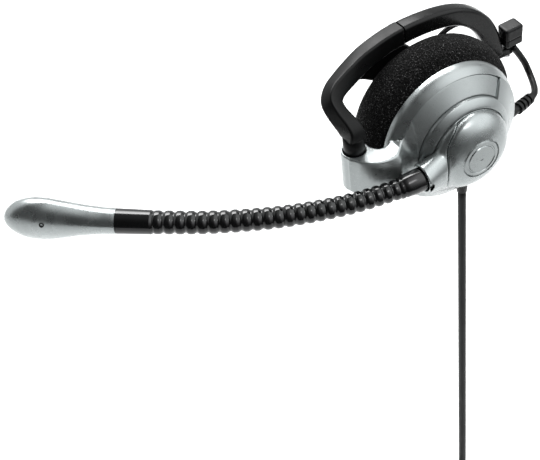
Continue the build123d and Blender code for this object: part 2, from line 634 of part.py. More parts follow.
with BuildPart() as hinge_pin:
    with BuildSketch(Plane.XY.offset(-4.0)):
        with Locations((HINGE_X, yr(HINGE_Y))):
            Circle(PIN_R)
    extrude(amount=18.9)
    with BuildSketch(Plane.XY.offset(-4.7)):
        with Locations((HINGE_X, yr(HINGE_Y))):
            Circle(3.1)
            Circle(1.0, mode=Mode.SUBTRACT)
    extrude(amount=0.7)
hinge_pin.part.label = "hinge_pin"
export_step(hinge_pin.part, "parts/hinge_pin.step")

# tail block on the hook's rear foot
with BuildPart() as tail_block:
    with BuildSketch(Plane.XY.offset(3.6)):
        with Locations((43.5, yr(21.6))):
            RectangleRounded(5.4, 5.6, 1.4)
    with BuildSketch(Plane.XY.offset(11.8)):
        with Locations((43.2, yr(21.6))):
            RectangleRounded(6.0, 5.8, 1.4)
    loft()
    fillet(tail_block.faces().sort_by(Axis.Z)[-1].edges(), 1.2)
tail_block.part.label = "tail_block"
export_step(tail_block.part, "parts/tail_block.step")

with BuildPart() as tail_screw:
    with Locations(Location((43.0, yr(23.6), -2.2))):
        Cylinder(2.0, 1.15)
    with Locations(Location((43.0, yr(23.6), -2.7))):
        Box(2.8, 0.5, 0.6, mode=Mode.SUBTRACT)
tail_screw.part.label = "tail_screw"
export_step(tail_screw.part, "parts/tail_screw.step")

# ================================================================= the link lead
BOOT_A = Vector(BOOT_LINE[0][0], yr(BOOT_LINE[0][1]), BOOT_LINE[0][2])
BOOT_B = Vector(BOOT_LINE[1][0], yr(BOOT_LINE[1][1]), BOOT_LINE[1][2])
bdir = (BOOT_B - BOOT_A).normalized()
LINK = [(40.5, 4.5, -9.2), (42.55, 5.22, -9.52), (46.05, 10.2, -10.4), (48.75, 16.5, -9.84), (47.65, 18.8, -4.5), (43.4, 19.75, 2.85)]


def tangent_radii(points, close_to=0.45):
    """Fillet radius at each inner point: 0.45 of the shorter run over the tangent of half the turn."""
    out = []
    for a, b, c in zip(points, points[1:], points[2:]):
        u = Vector(*b) - Vector(*a)
        v = Vector(*c) - Vector(*b)
        turn = u.get_angle(v)
        out.append(close_to * min(u.length, v.length) / tan(radians(turn) / 2))
    return out


def cord_tube(points, d, name):
    radii = tangent_radii(points)
    print(name, "radii", [round(r, 1) for r in radii])
    with BuildPart() as tube:
        with BuildLine():
            if len(points) > 2:
                path = FilletPolyline(*points, radius=radii)
            else:
                path = Line(*points)
        with BuildSketch(Plane(origin=path @ 0, z_dir=path % 0)):
            Circle(d / 2)
        sweep()
    length = path.length
    print(name, "length", round(length, 1), "volume", round(tube.part.volume, 1), "section x length",
          round(pi * d * d / 4 * length, 1))
    tube.part.label = name
    export_step(tube.part, "parts/" + name + ".step")
    return tube


with BuildPart() as link_boot:
    with BuildSketch(Plane(origin=BOOT_A - bdir * 1.6, z_dir=bdir)):
        Circle(1.75)
    with BuildSketch(Plane(origin=BOOT_B - bdir * 0.02, z_dir=bdir)):
        Circle(1.45)
    loft()
    for t, r in ((5.2, 2.3), (7.6, 2.25), (10.0, 2.2), (12.4, 2.1)):
        with BuildSketch(Plane(origin=BOOT_A + bdir * t, z_dir=bdir)):
            Circle(r)
        extrude(amount=1.3)
link_boot.part.label = "link_boot"
export_step(link_boot.part, "parts/link_boot.step")

link_cord = cord_tube([(x, yr(y), z) for x, y, z in LINK], LINK_D, "link_cord")

# ================================================================= the main cord
CX, CY = CORD_X, yr(CORD_YR)
with BuildPart() as cord_gland:
    with BuildSketch(Plane.XY.offset(-28.0)):
        with Locations((CX, CY)):
            Circle(CORD_D / 2 + 0.35)
    with BuildSketch(Plane.XY.offset(-24.6)):
        with Locations((CX, CY)):
            Circle(2.15)
    loft()
    with BuildSketch(Plane.XY.offset(-24.6)):
        with Locations((CX, CY)):
            Circle(2.15)
    extrude(amount=2.6)
    with BuildSketch(Plane.XY.offset(-22.6)):
        with Locations((CX, CY)):
            Circle(2.15)
    extrude(amount=0.6)
cord_gland.part.label = "cord_gland"
export_step(cord_gland.part, "parts/cord_gland.step")

main_cord = cord_tube([(CX, CY, -28.0), (CX, CY, CORD_VIEW_Z)], CORD_D, "main_cord")

COIL_OUT = COIL_MEAN_R + COIL_BUNDLE_R
COIL_Z = CORD_VIEW_Z - COIL_OUT + 0.02
with BuildPart() as cord_coil:
    with BuildSketch(Plane.XY):
        with Locations((COIL_MEAN_R, 0)):
            Circle(COIL_BUNDLE_R)
    revolve(axis=Axis.Y)
    with Locations(Location((0, 0, COIL_OUT), (0, 0, 0))):
        Box(14, 14, 0.04, mode=Mode.SUBTRACT)
    with Locations(Location((0, 0, -COIL_OUT), (0, 0, 0))):
        Box(14, 14, 0.04, mode=Mode.SUBTRACT)
coil = cord_coil.part.moved(Location((CX, CY, COIL_Z)))
coil.label = "cord_coil"
export_step(coil, "parts/cord_coil.step")

PLUG_Z = COIL_Z - COIL_OUT - 8.0          # the cord meets the plug's boot here
cord_tail = cord_tube([(CX, CY, COIL_Z - COIL_OUT + 0.02), (CX, CY, PLUG_Z)], CORD_D, "cord_tail")

with BuildPart() as plug_boot:
    with BuildSketch(Plane.XY.offset(PLUG_Z - 16.0)):
        with Locations((CX, CY)):
            Circle(3.6)
    with BuildSketch(Plane.XY.offset(PLUG_Z)):
        with Locations((CX, CY)):
            Circle(2.1)
    loft()
plug_boot.part.label = "plug_boot"
export_step(plug_boot.part, "parts/plug_boot.step")

with BuildPart() as plug_shell:
    with BuildSketch(Plane(origin=(CX, CY, PLUG_Z - 16.02), x_dir=(1, 0, 0), z_dir=(0, -1, 0))):
        with BuildLine():
            Polyline((3.0, 0.0), (5.6, 0.0), (6.0, -0.6), (6.0, -22.0), (5.4, -24.0), (5.4, -26.0), (3.0, -26.0), close=True)
        make_face()
    revolve(axis=Axis((CX, CY, PLUG_Z), (0, 0, 1)))
plug_shell.part.label = "plug_shell"
export_step(plug_shell.part, "parts/plug_shell.step")

# four-pole plug, 7.14 mm shaft: sleeve, two rings and tip, held apart by insulators
PZ = PLUG_Z - 16.02 - 26.0
PR = 7.14 / 2
with BuildPart() as plug_contacts:
    for z0, z1 in ((0.0, -10.6), (-11.8, -15.0), (-16.2, -19.4)):
        with BuildSketch(Plane.XY.offset(PZ + z1)):
            with Locations((CX, CY)):
                Circle(PR)
                Circle(1.59, mode=Mode.SUBTRACT)
        extrude(amount=z0 - z1)
    with BuildSketch(Plane(origin=(CX, CY, PZ), x_dir=(1, 0, 0), z_dir=(0, -1, 0))):
        with BuildLine():
            Polyline((0.0, 4.0), (0.9, 4.0), (0.9, -20.62), (2.6, -20.62), (PR, -21.6), (3.0, -23.6), (2.9, -24.4), (1.0, -27.6),
                     (0.0, -27.9), close=True)
        make_face()
    revolve(axis=Axis((CX, CY, PZ), (0, 0, 1)))
plug_contacts.part.label = "plug_contacts"
export_step(plug_contacts.part, "parts/plug_contacts.step")

with BuildPart() as plug_insulators:
    for z0, z1, r in ((3.0, -20.6, 1.58), (-10.61, -11.79, PR), (-15.01, -16.19, PR), (-19.41, -20.6, PR)):
        with BuildSketch(Plane.XY.offset(PZ + z1)):
            with Locations((CX, CY)):
                Circle(r)
                Circle(0.91, mode=Mode.SUBTRACT)
        extrude(amount=z0 - z1)
plug_insulators.part.label = "plug_insulators"
export_step(plug_insulators.part, "parts/plug_insulators.step")

# tie round one side of the coil
with BuildPart() as cord_tie:
    with BuildSketch(Plane(origin=(CX - COIL_MEAN_R, CY, COIL_Z), x_dir=(1, 0, 0), z_dir=(0, 0, 1))):
        Circle(COIL_BUNDLE_R + 1.7)
        Circle(COIL_BUNDLE_R + 0.65, mode=Mode.SUBTRACT)
    extrude(amount=3.0, both=True)
cord_tie.part.label = "cord_tie"
export_step(cord_tie.part, "parts/cord_tie.step")
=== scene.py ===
import math

import bpy
import numpy as np
from mathutils import Matrix, Vector


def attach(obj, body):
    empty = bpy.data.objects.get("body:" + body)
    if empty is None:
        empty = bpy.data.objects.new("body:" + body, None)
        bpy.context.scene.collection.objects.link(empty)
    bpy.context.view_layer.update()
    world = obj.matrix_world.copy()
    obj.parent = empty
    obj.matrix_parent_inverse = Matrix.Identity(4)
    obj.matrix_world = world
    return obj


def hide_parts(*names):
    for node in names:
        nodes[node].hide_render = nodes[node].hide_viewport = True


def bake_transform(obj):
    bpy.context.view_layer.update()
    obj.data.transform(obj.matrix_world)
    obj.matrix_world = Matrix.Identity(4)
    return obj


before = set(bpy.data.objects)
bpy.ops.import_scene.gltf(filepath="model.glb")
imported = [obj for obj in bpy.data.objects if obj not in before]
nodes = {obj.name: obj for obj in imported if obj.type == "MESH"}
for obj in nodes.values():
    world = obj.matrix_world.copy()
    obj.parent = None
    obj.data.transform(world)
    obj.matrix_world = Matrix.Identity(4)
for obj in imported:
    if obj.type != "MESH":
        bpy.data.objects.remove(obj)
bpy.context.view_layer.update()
MM = 0.001
scene = bpy.context.scene

# ------------------------------------------------------------ camera
cam_data = bpy.data.cameras.new("camera")
cam = bpy.data.objects.new("camera", cam_data)
scene.collection.objects.link(cam)
R = Vector((0.8497, -0.5186, -0.0958)).normalized()
B = Vector((-0.3043, -0.6305, 0.7141)).normalized()
U = B.cross(R).normalized()
R = U.cross(B).normalized()
cam.matrix_world = Matrix((
    (R.x, U.x, B.x, -0.22321),
    (R.y, U.y, B.y, -0.32827),
    (R.z, U.z, B.z, 0.3447),
    (0, 0, 0, 1)))
cam_data.sensor_width = 36.0
cam_data.sensor_fit = "HORIZONTAL"
cam_data.lens = 96.67
cam_data.clip_start = 0.01
scene.camera = cam


# ------------------------------------------------------------ cords
def nurbs(name, points, radius=0.0, resolution=8, sides=4):
    """An open quadratic NURBS curve with the points as its control points, in mm."""
    data = bpy.data.curves.new(name, "CURVE")
    data.dimensions = "3D"
    s = data.splines.new("NURBS")
    s.points.add(len(points) - 1)
    for p, q in zip(s.points, points):
        p.co = (q[0] * MM, q[1] * MM, q[2] * MM, 1.0)
    s.order_u = 3
    s.use_endpoint_u = True
    s.resolution_u = resolution
    data.resolution_u = resolution
    data.bevel_depth = radius * MM
    data.bevel_resolution = sides
    data.use_fill_caps = True
    obj = bpy.data.objects.new(name, data)
    scene.collection.objects.link(obj)
    return obj


def line_of(name, points, resolution=8):
    """Points of that NURBS curve, in mm."""
    o = nurbs(name + "_line", points, 0.0, resolution)
    m = bpy.data.meshes.new_from_object(o)
    pts = np.array([v.co[:] for v in m.vertices]) / MM
    bpy.data.objects.remove(o)
    bpy.data.meshes.remove(m)
    return pts


CX, CY = 2.5, -24.0
CORD_R = 1.55
VIEW_Z = -207.0
COIL_R, BUNDLE = 17.0, 6.2
COIL_Z = VIEW_Z - COIL_R - BUNDLE + 0.02
TAIL_Z = COIL_Z - COIL_R - BUNDLE - 8.0

# places of the coil's turns across its bundle: (outward, sideways), in the order the cord visits them
SLOTS = [(4.65, 0), (3.1, 2.68), (1.55, 0), (0, 2.68), (-1.55, 0), (-3.1, 2.68), (-4.65, 0), (-3.1, -2.68), (0, -2.68), (3.1, -2.68)]
PER = 14


def coil_points():
    turn = 2 * math.pi
    start = math.radians(90 + 21)
    end = start + turn * 9 + math.radians(180 - 42)
    width = math.radians(28)
    moves = [start + math.radians(300) + i * (turn - width) for i in range(9)]
    out = []
    n = int(round((end - start) / turn * PER))
    for j in range(n + 1):
        a = start + (end - start) * j / n
        k = 0
        t = 0.0
        for i, m in enumerate(moves):
            if a >= m + width:
                k = i + 1
            elif a > m:
                k, t = i, (a - m) / width
        t = t * t * (3 - 2 * t)
        s0 = SLOTS[min(k, 9)]
        s1 = SLOTS[min(k + 1, 9)] if t > 0 else s0
        dr = s0[0] + (s1[0] - s0[0]) * t
        dy = s0[1] + (s1[1] - s0[1]) * t
        r = (COIL_R + dr) / 0.9753
        out.append((CX + r * math.cos(a), CY + dy, COIL_Z + r * math.sin(a)))
    return out


coil = coil_points()
route = [(CX, CY, -24.0), (CX, CY, -28.0 - 18.0), (CX, CY, -120.0), (CX, CY, VIEW_Z + 22.0), (CX, CY, VIEW_Z + 12.0),
         (CX - 0.2, CY, VIEW_Z + 5.5), (CX - 3.4, CY, VIEW_Z + 1.2)]
route += coil
ex = coil[-1]
route += [(CX - 3.4, CY - 2.4, COIL_Z - COIL_R - BUNDLE - 1.0), (CX - 0.2, CY - 0.8, COIL_Z - COIL_R - BUNDLE - 4.4),
          (CX, CY, TAIL_Z + 1.0), (CX, CY, TAIL_Z - 3.0)]
cord_line = line_of("headset_cord", route, 6)

LINK = [(40.5, -15.5, -9.2), (42.55, -14.78, -9.52), (46.05, -9.8, -10.4), (48.75, -3.5, -9.84), (47.65, -1.2, -4.5), (43.4, -0.25, 2.85)]
link_line = line_of("link_lead", LINK, 12)


# ------------------------------------------------------------ node helpers
class Mat:
    def __init__(self, name):
        self.m = bpy.data.materials.new(name)
        self.m.use_nodes = True
        self.t = self.m.node_tree
        self.n = self.t.nodes
        self.bsdf = self.n["Principled BSDF"]
        self.coord = self.n.new("ShaderNodeTexCoord")

    def node(self, kind, **kw):
        n = self.n.new(kind)
        for k, v in kw.items():
            if hasattr(n, k):
                setattr(n, k, v)
            else:
                n.inputs[k.replace("_", " ")].default_value = v
        return n

    def link(self, a, b):
        self.t.links.new(a, b)

    def set(self, **kw):
        for k, v in kw.items():
            self.bsdf.inputs[k.replace("_", " ")].default_value = v

    def mapped(self, scale=(1, 1, 1), rotation=(0, 0, 0), location=(0, 0, 0)):
        m = self.n.new("ShaderNodeMapping")
        m.inputs["Scale"].default_value = scale
        m.inputs["Rotation"].default_value = rotation
        m.inputs["Location"].default_value = location
        self.link(self.coord.outputs["Object"], m.inputs["Vector"])
        return m.outputs["Vector"]

    def noise(self, scale, detail=4.0, rough=0.5, vec=None, distortion=0.0):
        n = self.n.new("ShaderNodeTexNoise")
        n.inputs["Scale"].default_value = scale
        n.inputs["Detail"].default_value = detail
        n.inputs["Roughness"].default_value = rough
        n.inputs["Distortion"].default_value = distortion
        self.link(vec if vec is not None else self.coord.outputs["Object"], n.inputs["Vector"])
        return n.outputs["Fac"]

    def voronoi(self, scale, feature="F1", vec=None):
        n = self.n.new("ShaderNodeTexVoronoi")
        n.feature = feature
        n.inputs["Scale"].default_value = scale
        self.link(vec if vec is not None else self.coord.outputs["Object"], n.inputs["Vector"])
        return n.outputs["Distance"]

    def ramp(self, fac, stops):
        n = self.n.new("ShaderNodeValToRGB")
        e = n.color_ramp.elements
        e[0].position, e[0].color = stops[0][0], stops[0][1]
        e[1].position, e[1].color = stops[-1][0], stops[-1][1]
        for p, c in stops[1:-1]:
            x = e.new(p)
            x.color = c
        self.link(fac, n.inputs["Fac"])
        return n.outputs["Color"]

    def span(self, fac, lo, hi, a=0.0, b=1.0):
        n = self.n.new("ShaderNodeMapRange")
        n.inputs["From Min"].default_value = a
        n.inputs["From Max"].default_value = b
        n.inputs["To Min"].default_value = lo
        n.inputs["To Max"].default_value = hi
        self.link(fac, n.inputs["Value"])
        return n.outputs["Result"]

    def math(self, op, a, b):
        n = self.n.new("ShaderNodeMath")
        n.operation = op
        for i, v in enumerate((a, b)):
            if isinstance(v, (int, float)):
                n.inputs[i].default_value = v
            else:
                self.link(v, n.inputs[i])
        return n.outputs["Value"]

    def bump(self, height, strength, distance, chain=None):
        n = self.n.new("ShaderNodeBump")
        n.inputs["Strength"].default_value = strength
        n.inputs["Distance"].default_value = distance
        self.link(height, n.inputs["Height"])
        if chain is not None:
            self.link(chain, n.inputs["Normal"])
        return n.outputs["Normal"]


def grey(v, b=0.0):
    return (v * (1 - b), v, v * (1 + b), 1)


def silver(name, brushed=None, tone=0.46, rough=0.30):
    """Satin metallic paint; brushed is "ring" for marks running round the cup's axis."""
    m = Mat(name)
    m.set(Metallic=0.92, Specular_IOR_Level=0.6, Coat_Weight=0.12, Coat_Roughness=0.22)
    cloud = m.noise(60, 3, 0.5)
    fleck = m.noise(5200, 2, 0.6)
    mixed = m.math("ADD", m.math("MULTIPLY", cloud, 0.5), m.math("MULTIPLY", fleck, 0.5))
    m.link(m.ramp(mixed, [(0.36, (tone * 0.84, tone * 0.90, tone * 0.90, 1)), (0.64, (tone * 1.03, tone * 1.09, tone * 1.09, 1))]), m.bsdf.inputs["Base Color"])
    if brushed:
        # streaks across the band: very fine along the angle, long along the radius
        sep = m.n.new("ShaderNodeSeparateXYZ")
        m.link(m.coord.outputs["Object"], sep.inputs["Vector"])
        ang = m.math("ARCTAN2", sep.outputs["Z"], sep.outputs["X"])
        comb = m.n.new("ShaderNodeCombineXYZ")
        m.link(m.math("MULTIPLY", ang, 24.0), comb.inputs["X"])
        rad = m.math("POWER", m.math("ADD", m.math("MULTIPLY", sep.outputs["X"], sep.outputs["X"]), m.math("MULTIPLY", sep.outputs["Z"], sep.outputs["Z"])), 0.5)
        m.link(m.math("MULTIPLY", rad, 90.0), comb.inputs["Y"])
        m.link(m.math("MULTIPLY", sep.outputs["Y"], 90.0), comb.inputs["Z"])
        streak = m.noise(6.0, 5, 0.65, comb.outputs["Vector"])
        m.link(m.span(streak, rough - 0.08, rough + 0.14, 0.3, 0.7), m.bsdf.inputs["Roughness"])
        n1 = m.bump(streak, 0.30, 0.000022)
    else:
        m.link(m.span(m.noise(220, 3, 0.5), rough - 0.05, rough + 0.07, 0.3, 0.7), m.bsdf.inputs["Roughness"])
        n1 = m.bump(m.noise(2600, 3, 0.55), 0.10, 0.00003)
    m.link(n1, m.bsdf.inputs["Normal"])
    return m.m


def plastic(name, base, rough, grain=1500, depth=0.0001, strength=0.25, coat=0.0, lines=None, spec=0.5):
    m = Mat(name)
    m.set(Coat_Weight=coat, Coat_Roughness=0.12, Specular_IOR_Level=spec)
    blot = m.noise(45, 4, 0.55)
    m.link(m.ramp(blot, [(0.3, grey(base * 0.75, 0.02)), (0.7, grey(base * 1.3, 0.03))]), m.bsdf.inputs["Base Color"])
    m.link(m.span(m.noise(180, 4, 0.6), rough - 0.06, rough + 0.08, 0.3, 0.7), m.bsdf.inputs["Roughness"])
    nrm = m.bump(m.noise(grain, 4, 0.6), strength, depth)
    if lines:
        streak = m.noise(9.0, 5, 0.7, m.mapped(scale=lines))
        nrm = m.bump(streak, 0.3, 0.00003, nrm)
    m.link(nrm, m.bsdf.inputs["Normal"])
    return m.m


def metal(name, color, rough, grain=900, aniso=0.0):
    m = Mat(name)
    m.set(Metallic=1.0, Anisotropic=aniso)
    m.link(m.ramp(m.noise(120, 4, 0.6), [(0.3, tuple(c * 0.85 for c in color) + (1,)), (0.7, tuple(color) + (1,))]), m.bsdf.inputs["Base Color"])
    m.link(m.span(m.noise(grain, 4, 0.6), rough * 0.7, rough * 1.35, 0.3, 0.7), m.bsdf.inputs["Roughness"])
    m.link(m.bump(m.noise(grain * 1.7, 3, 0.5), 0.12, 0.00005), m.bsdf.inputs["Normal"])
    return m.m


def foam(name):
    m = Mat(name)
    m.set(Roughness=0.95, Specular_IOR_Level=0.16, Sheen_Weight=0.02, Sheen_Roughness=0.6)
    warp = m.noise(420, 3, 0.6)
    pores = m.voronoi(1150, "F1")
    fine = m.noise(2300, 3, 0.7)
    web = m.voronoi(1150, "DISTANCE_TO_EDGE")
    # painted highlight: flecks of lighter base colour along the pore rims stand in for light catching the black foam's
    # cell walls
    pore_rim_glint = m.math("MULTIPLY", m.span(fine, 0.0, 1.0, 0.50, 0.66), m.span(web, 1.0, 0.0, 0.02, 0.16))
    m.link(m.ramp(pore_rim_glint, [(0.0, grey(0.002)), (0.4, grey(0.012)), (0.8, grey(0.16)), (1.0, grey(0.30))]), m.bsdf.inputs["Base Color"])
    n1 = m.bump(pores, 0.9, 0.0006)
    n2 = m.bump(fine, 0.8, 0.0003, n1)
    m.link(m.bump(warp, 0.6, 0.0008, n2), m.bsdf.inputs["Normal"])
    return m.m


M = {
    "silver": silver("silver_paint"),
    "silver_dome": silver("silver_paint_dome", tone=0.47, rough=0.27),
    "silver_band": silver("silver_brushed", brushed=True, tone=0.47, rough=0.33),
    "silver_mic": silver("silver_paint_mic", tone=0.52, rough=0.27),
    "badge": silver("badge_disc_finish", tone=0.40, rough=0.24),
    "foam": foam("open_cell_foam"),
    "hook_front": plastic("satin_black", 0.004, 0.32, 1700, 0.00002, 0.2, lines=(40, 260, 260), spec=0.22),
    "hook_rear": plastic("soft_black", 0.005, 0.24, 2200, 0.00002, 0.15, coat=0.05, spec=0.27),
    "gloss": plastic("gloss_black_skin", 0.003, 0.14, 1400, 0.00002, 0.08, coat=0.5, spec=0.45),
    "boss": plastic("moulded_black", 0.006, 0.30, 1800, 0.00003, 0.18, spec=0.28),
    "rubber": plastic("black_rubber", 0.006, 0.30, 2600, 0.00003, 0.2, spec=0.3),
    "jacket": plastic("cord_jacket", 0.004, 0.42, 2300, 0.00004, 0.25, spec=0.26),
    "baffle": plastic("baffle_black", 0.02, 0.55, 1500, 0.0001, 0.3),
    "steel": metal("bright_steel", (0.60, 0.60, 0.61), 0.26),
    "nickel": metal("nickel_plate", (0.72, 0.71, 0.69), 0.14, 500),
    "brass": metal("turned_brass", (0.72, 0.55, 0.27), 0.3),
    "ring_plastic": plastic("dark_insulator", 0.03, 0.4),
    "card": plastic("board_green", 0.05, 0.4),
    "cone": plastic("film_cone", 0.20, 0.35),
    "cloth": plastic("acoustic_cloth", 0.015, 0.9, 3600, 0.0002, 0.8),
    "washer": plastic("natural_washer", 0.55, 0.45),
    "hole": plastic("port_dark", 0.003, 0.6),
}
gb = M["card"].node_tree.nodes
for n in gb:
    if n.type == "VALTORGB":
        n.color_ramp.elements[0].color = (0.02, 0.10, 0.05, 1)
        n.color_ramp.elements[1].color = (0.03, 0.16, 0.08, 1)
for n in M["cone"].node_tree.nodes:
    if n.type == "VALTORGB":
        n.color_ramp.elements[0].color = (0.24, 0.21, 0.14, 1)
        n.color_ramp.elements[1].color = (0.34, 0.30, 0.21, 1)


def dress(obj, mat):
    obj.data.materials.clear()
    obj.data.materials.append(mat)


def dress_node(name, mat):
    o = nodes[name]
    for i in range(max(1, len(o.material_slots))):
        if i < len(o.material_slots):
            o.material_slots[i].material = mat
        else:
            o.data.materials.append(mat)


def piece(name, verts, faces, mat, smooth=True, scale=MM):
    me = bpy.data.meshes.new(name)
    me.from_pydata([tuple(float(c) * scale for c in v) for v in verts], [], [tuple(int(i) for i in f) for f in faces])
    me.update()
    if smooth:
        me.polygons.foreach_set("use_smooth", [True] * len(me.polygons))
    me.validate()
    o = bpy.data.objects.new(name, me)
    scene.collection.objects.link(o)
    me.materials.append(mat)
    return o


def split_sharp(o, angle=32):
    """Keeps creases sharper than the angle."""
    bpy.context.view_layer.objects.active = o
    with bpy.context.temp_override(object=o, active_object=o, selected_objects=[o], selected_editable_objects=[o]):
        bpy.ops.object.shade_smooth_by_angle(angle=math.radians(angle), keep_sharp_edges=True)


# ------------------------------------------------------------ surfaces from distance functions
def net(f, lo, hi, h, steps=4):
    """Closed quad mesh of f(x, y, z) = 0 on a grid of pitch h, its points then moved onto the surface."""
    lo, hi = np.array(lo, float), np.array(hi, float)
    n = np.maximum(2, np.ceil((hi - lo) / h).astype(int) + 1)
    ax = [lo[i] + h * np.arange(n[i]) for i in range(3)]
    X, Y, Z = np.meshgrid(*ax, indexing="ij")
    F = f(X, Y, Z)
    inside = F < 0
    cell_n = n - 1
    acc = np.zeros(tuple(cell_n) + (3,))
    cnt = np.zeros(tuple(cell_n))
    nx, ny, nz = cell_n

    def sl(o):
        return tuple(slice(o[i], o[i] + cell_n[i]) for i in range(3))
    P = np.stack([X, Y, Z], -1)
    corners = [(0, 0, 0), (1, 0, 0), (0, 1, 0), (1, 1, 0), (0, 0, 1), (1, 0, 1), (0, 1, 1), (1, 1, 1)]
    for a in corners:
        for d in range(3):
            if a[d]:
                continue
            b = list(a)
            b[d] = 1
            fa, fb = F[sl(a)], F[sl(b)]
            cross = (fa < 0) != (fb < 0)
            t = np.where(cross, fa / np.where(fa == fb, 1, fa - fb), 0)
            pa, pb = P[sl(a)], P[sl(b)]
            acc += np.where(cross[..., None], pa + (pb - pa) * t[..., None], 0)
            cnt += cross
    has = cnt > 0
    idx = -np.ones(tuple(cell_n), int)
    idx[has] = np.arange(has.sum())
    V = acc[has] / cnt[has][:, None]
    faces = []
    for d in range(3):
        o = [0, 0, 0]
        o[d] = 1
        A = inside[tuple(slice(0, n[i] - o[i]) for i in range(3))]
        Bn = inside[tuple(slice(o[i], n[i]) for i in range(3))]
        e = np.argwhere(A != Bn)
        u, v = [(1, 2), (2, 0), (0, 1)][d]
        ok = (e[:, u] > 0) & (e[:, v] > 0) & (e[:, u] < n[u] - 1) & (e[:, v] < n[v] - 1)
        e = e[ok]
        du = np.zeros(3, int)
        dv = np.zeros(3, int)
        du[u] = 1
        dv[v] = 1
        q = [idx[tuple((e - du - dv).T)], idx[tuple((e - dv).T)], idx[tuple(e.T)], idx[tuple((e - du).T)]]
        q = np.stack(q, 1)
        flip = ~A[tuple(e.T)]
        q[flip] = q[flip][:, ::-1]
        faces.append(q)
    faces = np.concatenate(faces)
    eps = 0.02
    for _ in range(steps):
        x, y, z = V.T
        v0 = f(x, y, z)
        g = np.stack([f(x + eps, y, z) - f(x - eps, y, z), f(x, y + eps, z) - f(x, y - eps, z), f(x, y, z + eps) - f(x, y, z - eps)], 1) / (2 * eps)
        gg = (g * g).sum(1) + 1e-6
        step = -(v0 / gg)[:, None] * g
        ln = np.linalg.norm(step, axis=1, keepdims=True)
        V = V + step * np.minimum(1, 0.4 * h / np.maximum(ln, 1e-9))
    return V, faces


def smin(a, b, k):
    h = np.maximum(k - np.abs(a - b), 0) / k
    return np.minimum(a, b) - h * h * k * 0.25


def smax(a, b, k):
    return -smin(-a, -b, k)


def poly_sd(px, py, pts):
    """Signed distance in 2D to a closed polygon."""
    pts = np.asarray(pts, float)
    d = np.full(px.shape, 1e9)
    s = np.ones(px.shape)
    m = len(pts)
    for i in range(m):
        a, b = pts[i], pts[i - 1]
        ex, ey = b[0] - a[0], b[1] - a[1]
        wx, wy = px - a[0], py - a[1]
        t = np.clip((wx * ex + wy * ey) / (ex * ex + ey * ey + 1e-12), 0, 1)
        bx, by = wx - ex * t, wy - ey * t
        d = np.minimum(d, bx * bx + by * by)
        c1 = py >= a[1]
        c2 = py < b[1]
        c3 = ex * wy > ey * wx
        all_ = c1 & c2 & c3
        none = ~c1 & ~c2 & ~c3
        s = np.where(all_ | none, -s, s)
    return s * np.sqrt(d)


def catmull(pts, per=8, closed=False):
    """Points on a centripetal-like smooth curve through pts."""
    P = np.asarray(pts, float)
    out = []
    n = len(P)
    for i in range(n - 1):
        p0, p1, p2, p3 = P[max(i - 1, 0)], P[i], P[i + 1], P[min(i + 2, n - 1)]
        for j in range(per):
            t = j / per
            out.append(0.5 * (2 * p1 + (p2 - p0) * t + (2 * p0 - 5 * p1 + 4 * p2 - p3) * t * t + (3 * p1 - p0 - 3 * p2 + p3) * t ** 3))
    out.append(P[-1])
    return np.array(out)


FINE = 0.28

# ------------------------------------------------------------ the cup
RIM = catmull([(27.0, -1.5), (27.0, -0.6), (26.95, 0.2), (26.75, 1.2), (26.35, 2.2), (25.85, 3.3), (25.45, 4.25)], 3).tolist()
CUP_OUT = RIM + [(25.25, 4.45), (25.02, 4.25), (24.9, 3.9), (18.9, 8.1), (18.85, 9.0)] + \
    catmull([(18.7, 9.4), (18.3, 9.75), (17.4, 10.45), (16.5, 11.05), (15.95, 11.25)], 3).tolist() + \
    [(15.6, 11.1), (15.6, 9.0), (3.45, 9.0), (3.45, 7.2), (15.8, 7.2), (17.4, 6.9), (23.2, 2.9), (24.9, 1.4), (25.2, 0.0), (25.2, -1.5)]
A1, A2 = math.radians(43), math.radians(206)


def sector(ang, a1, a2, r):
    """Distance outside the angular span, roughly in mm at radius r."""
    mid, half = (a1 + a2) / 2, (a2 - a1) / 2
    d = np.abs((ang - mid + math.pi) % (2 * math.pi) - math.pi) - half
    return d * np.maximum(r, 1.0)


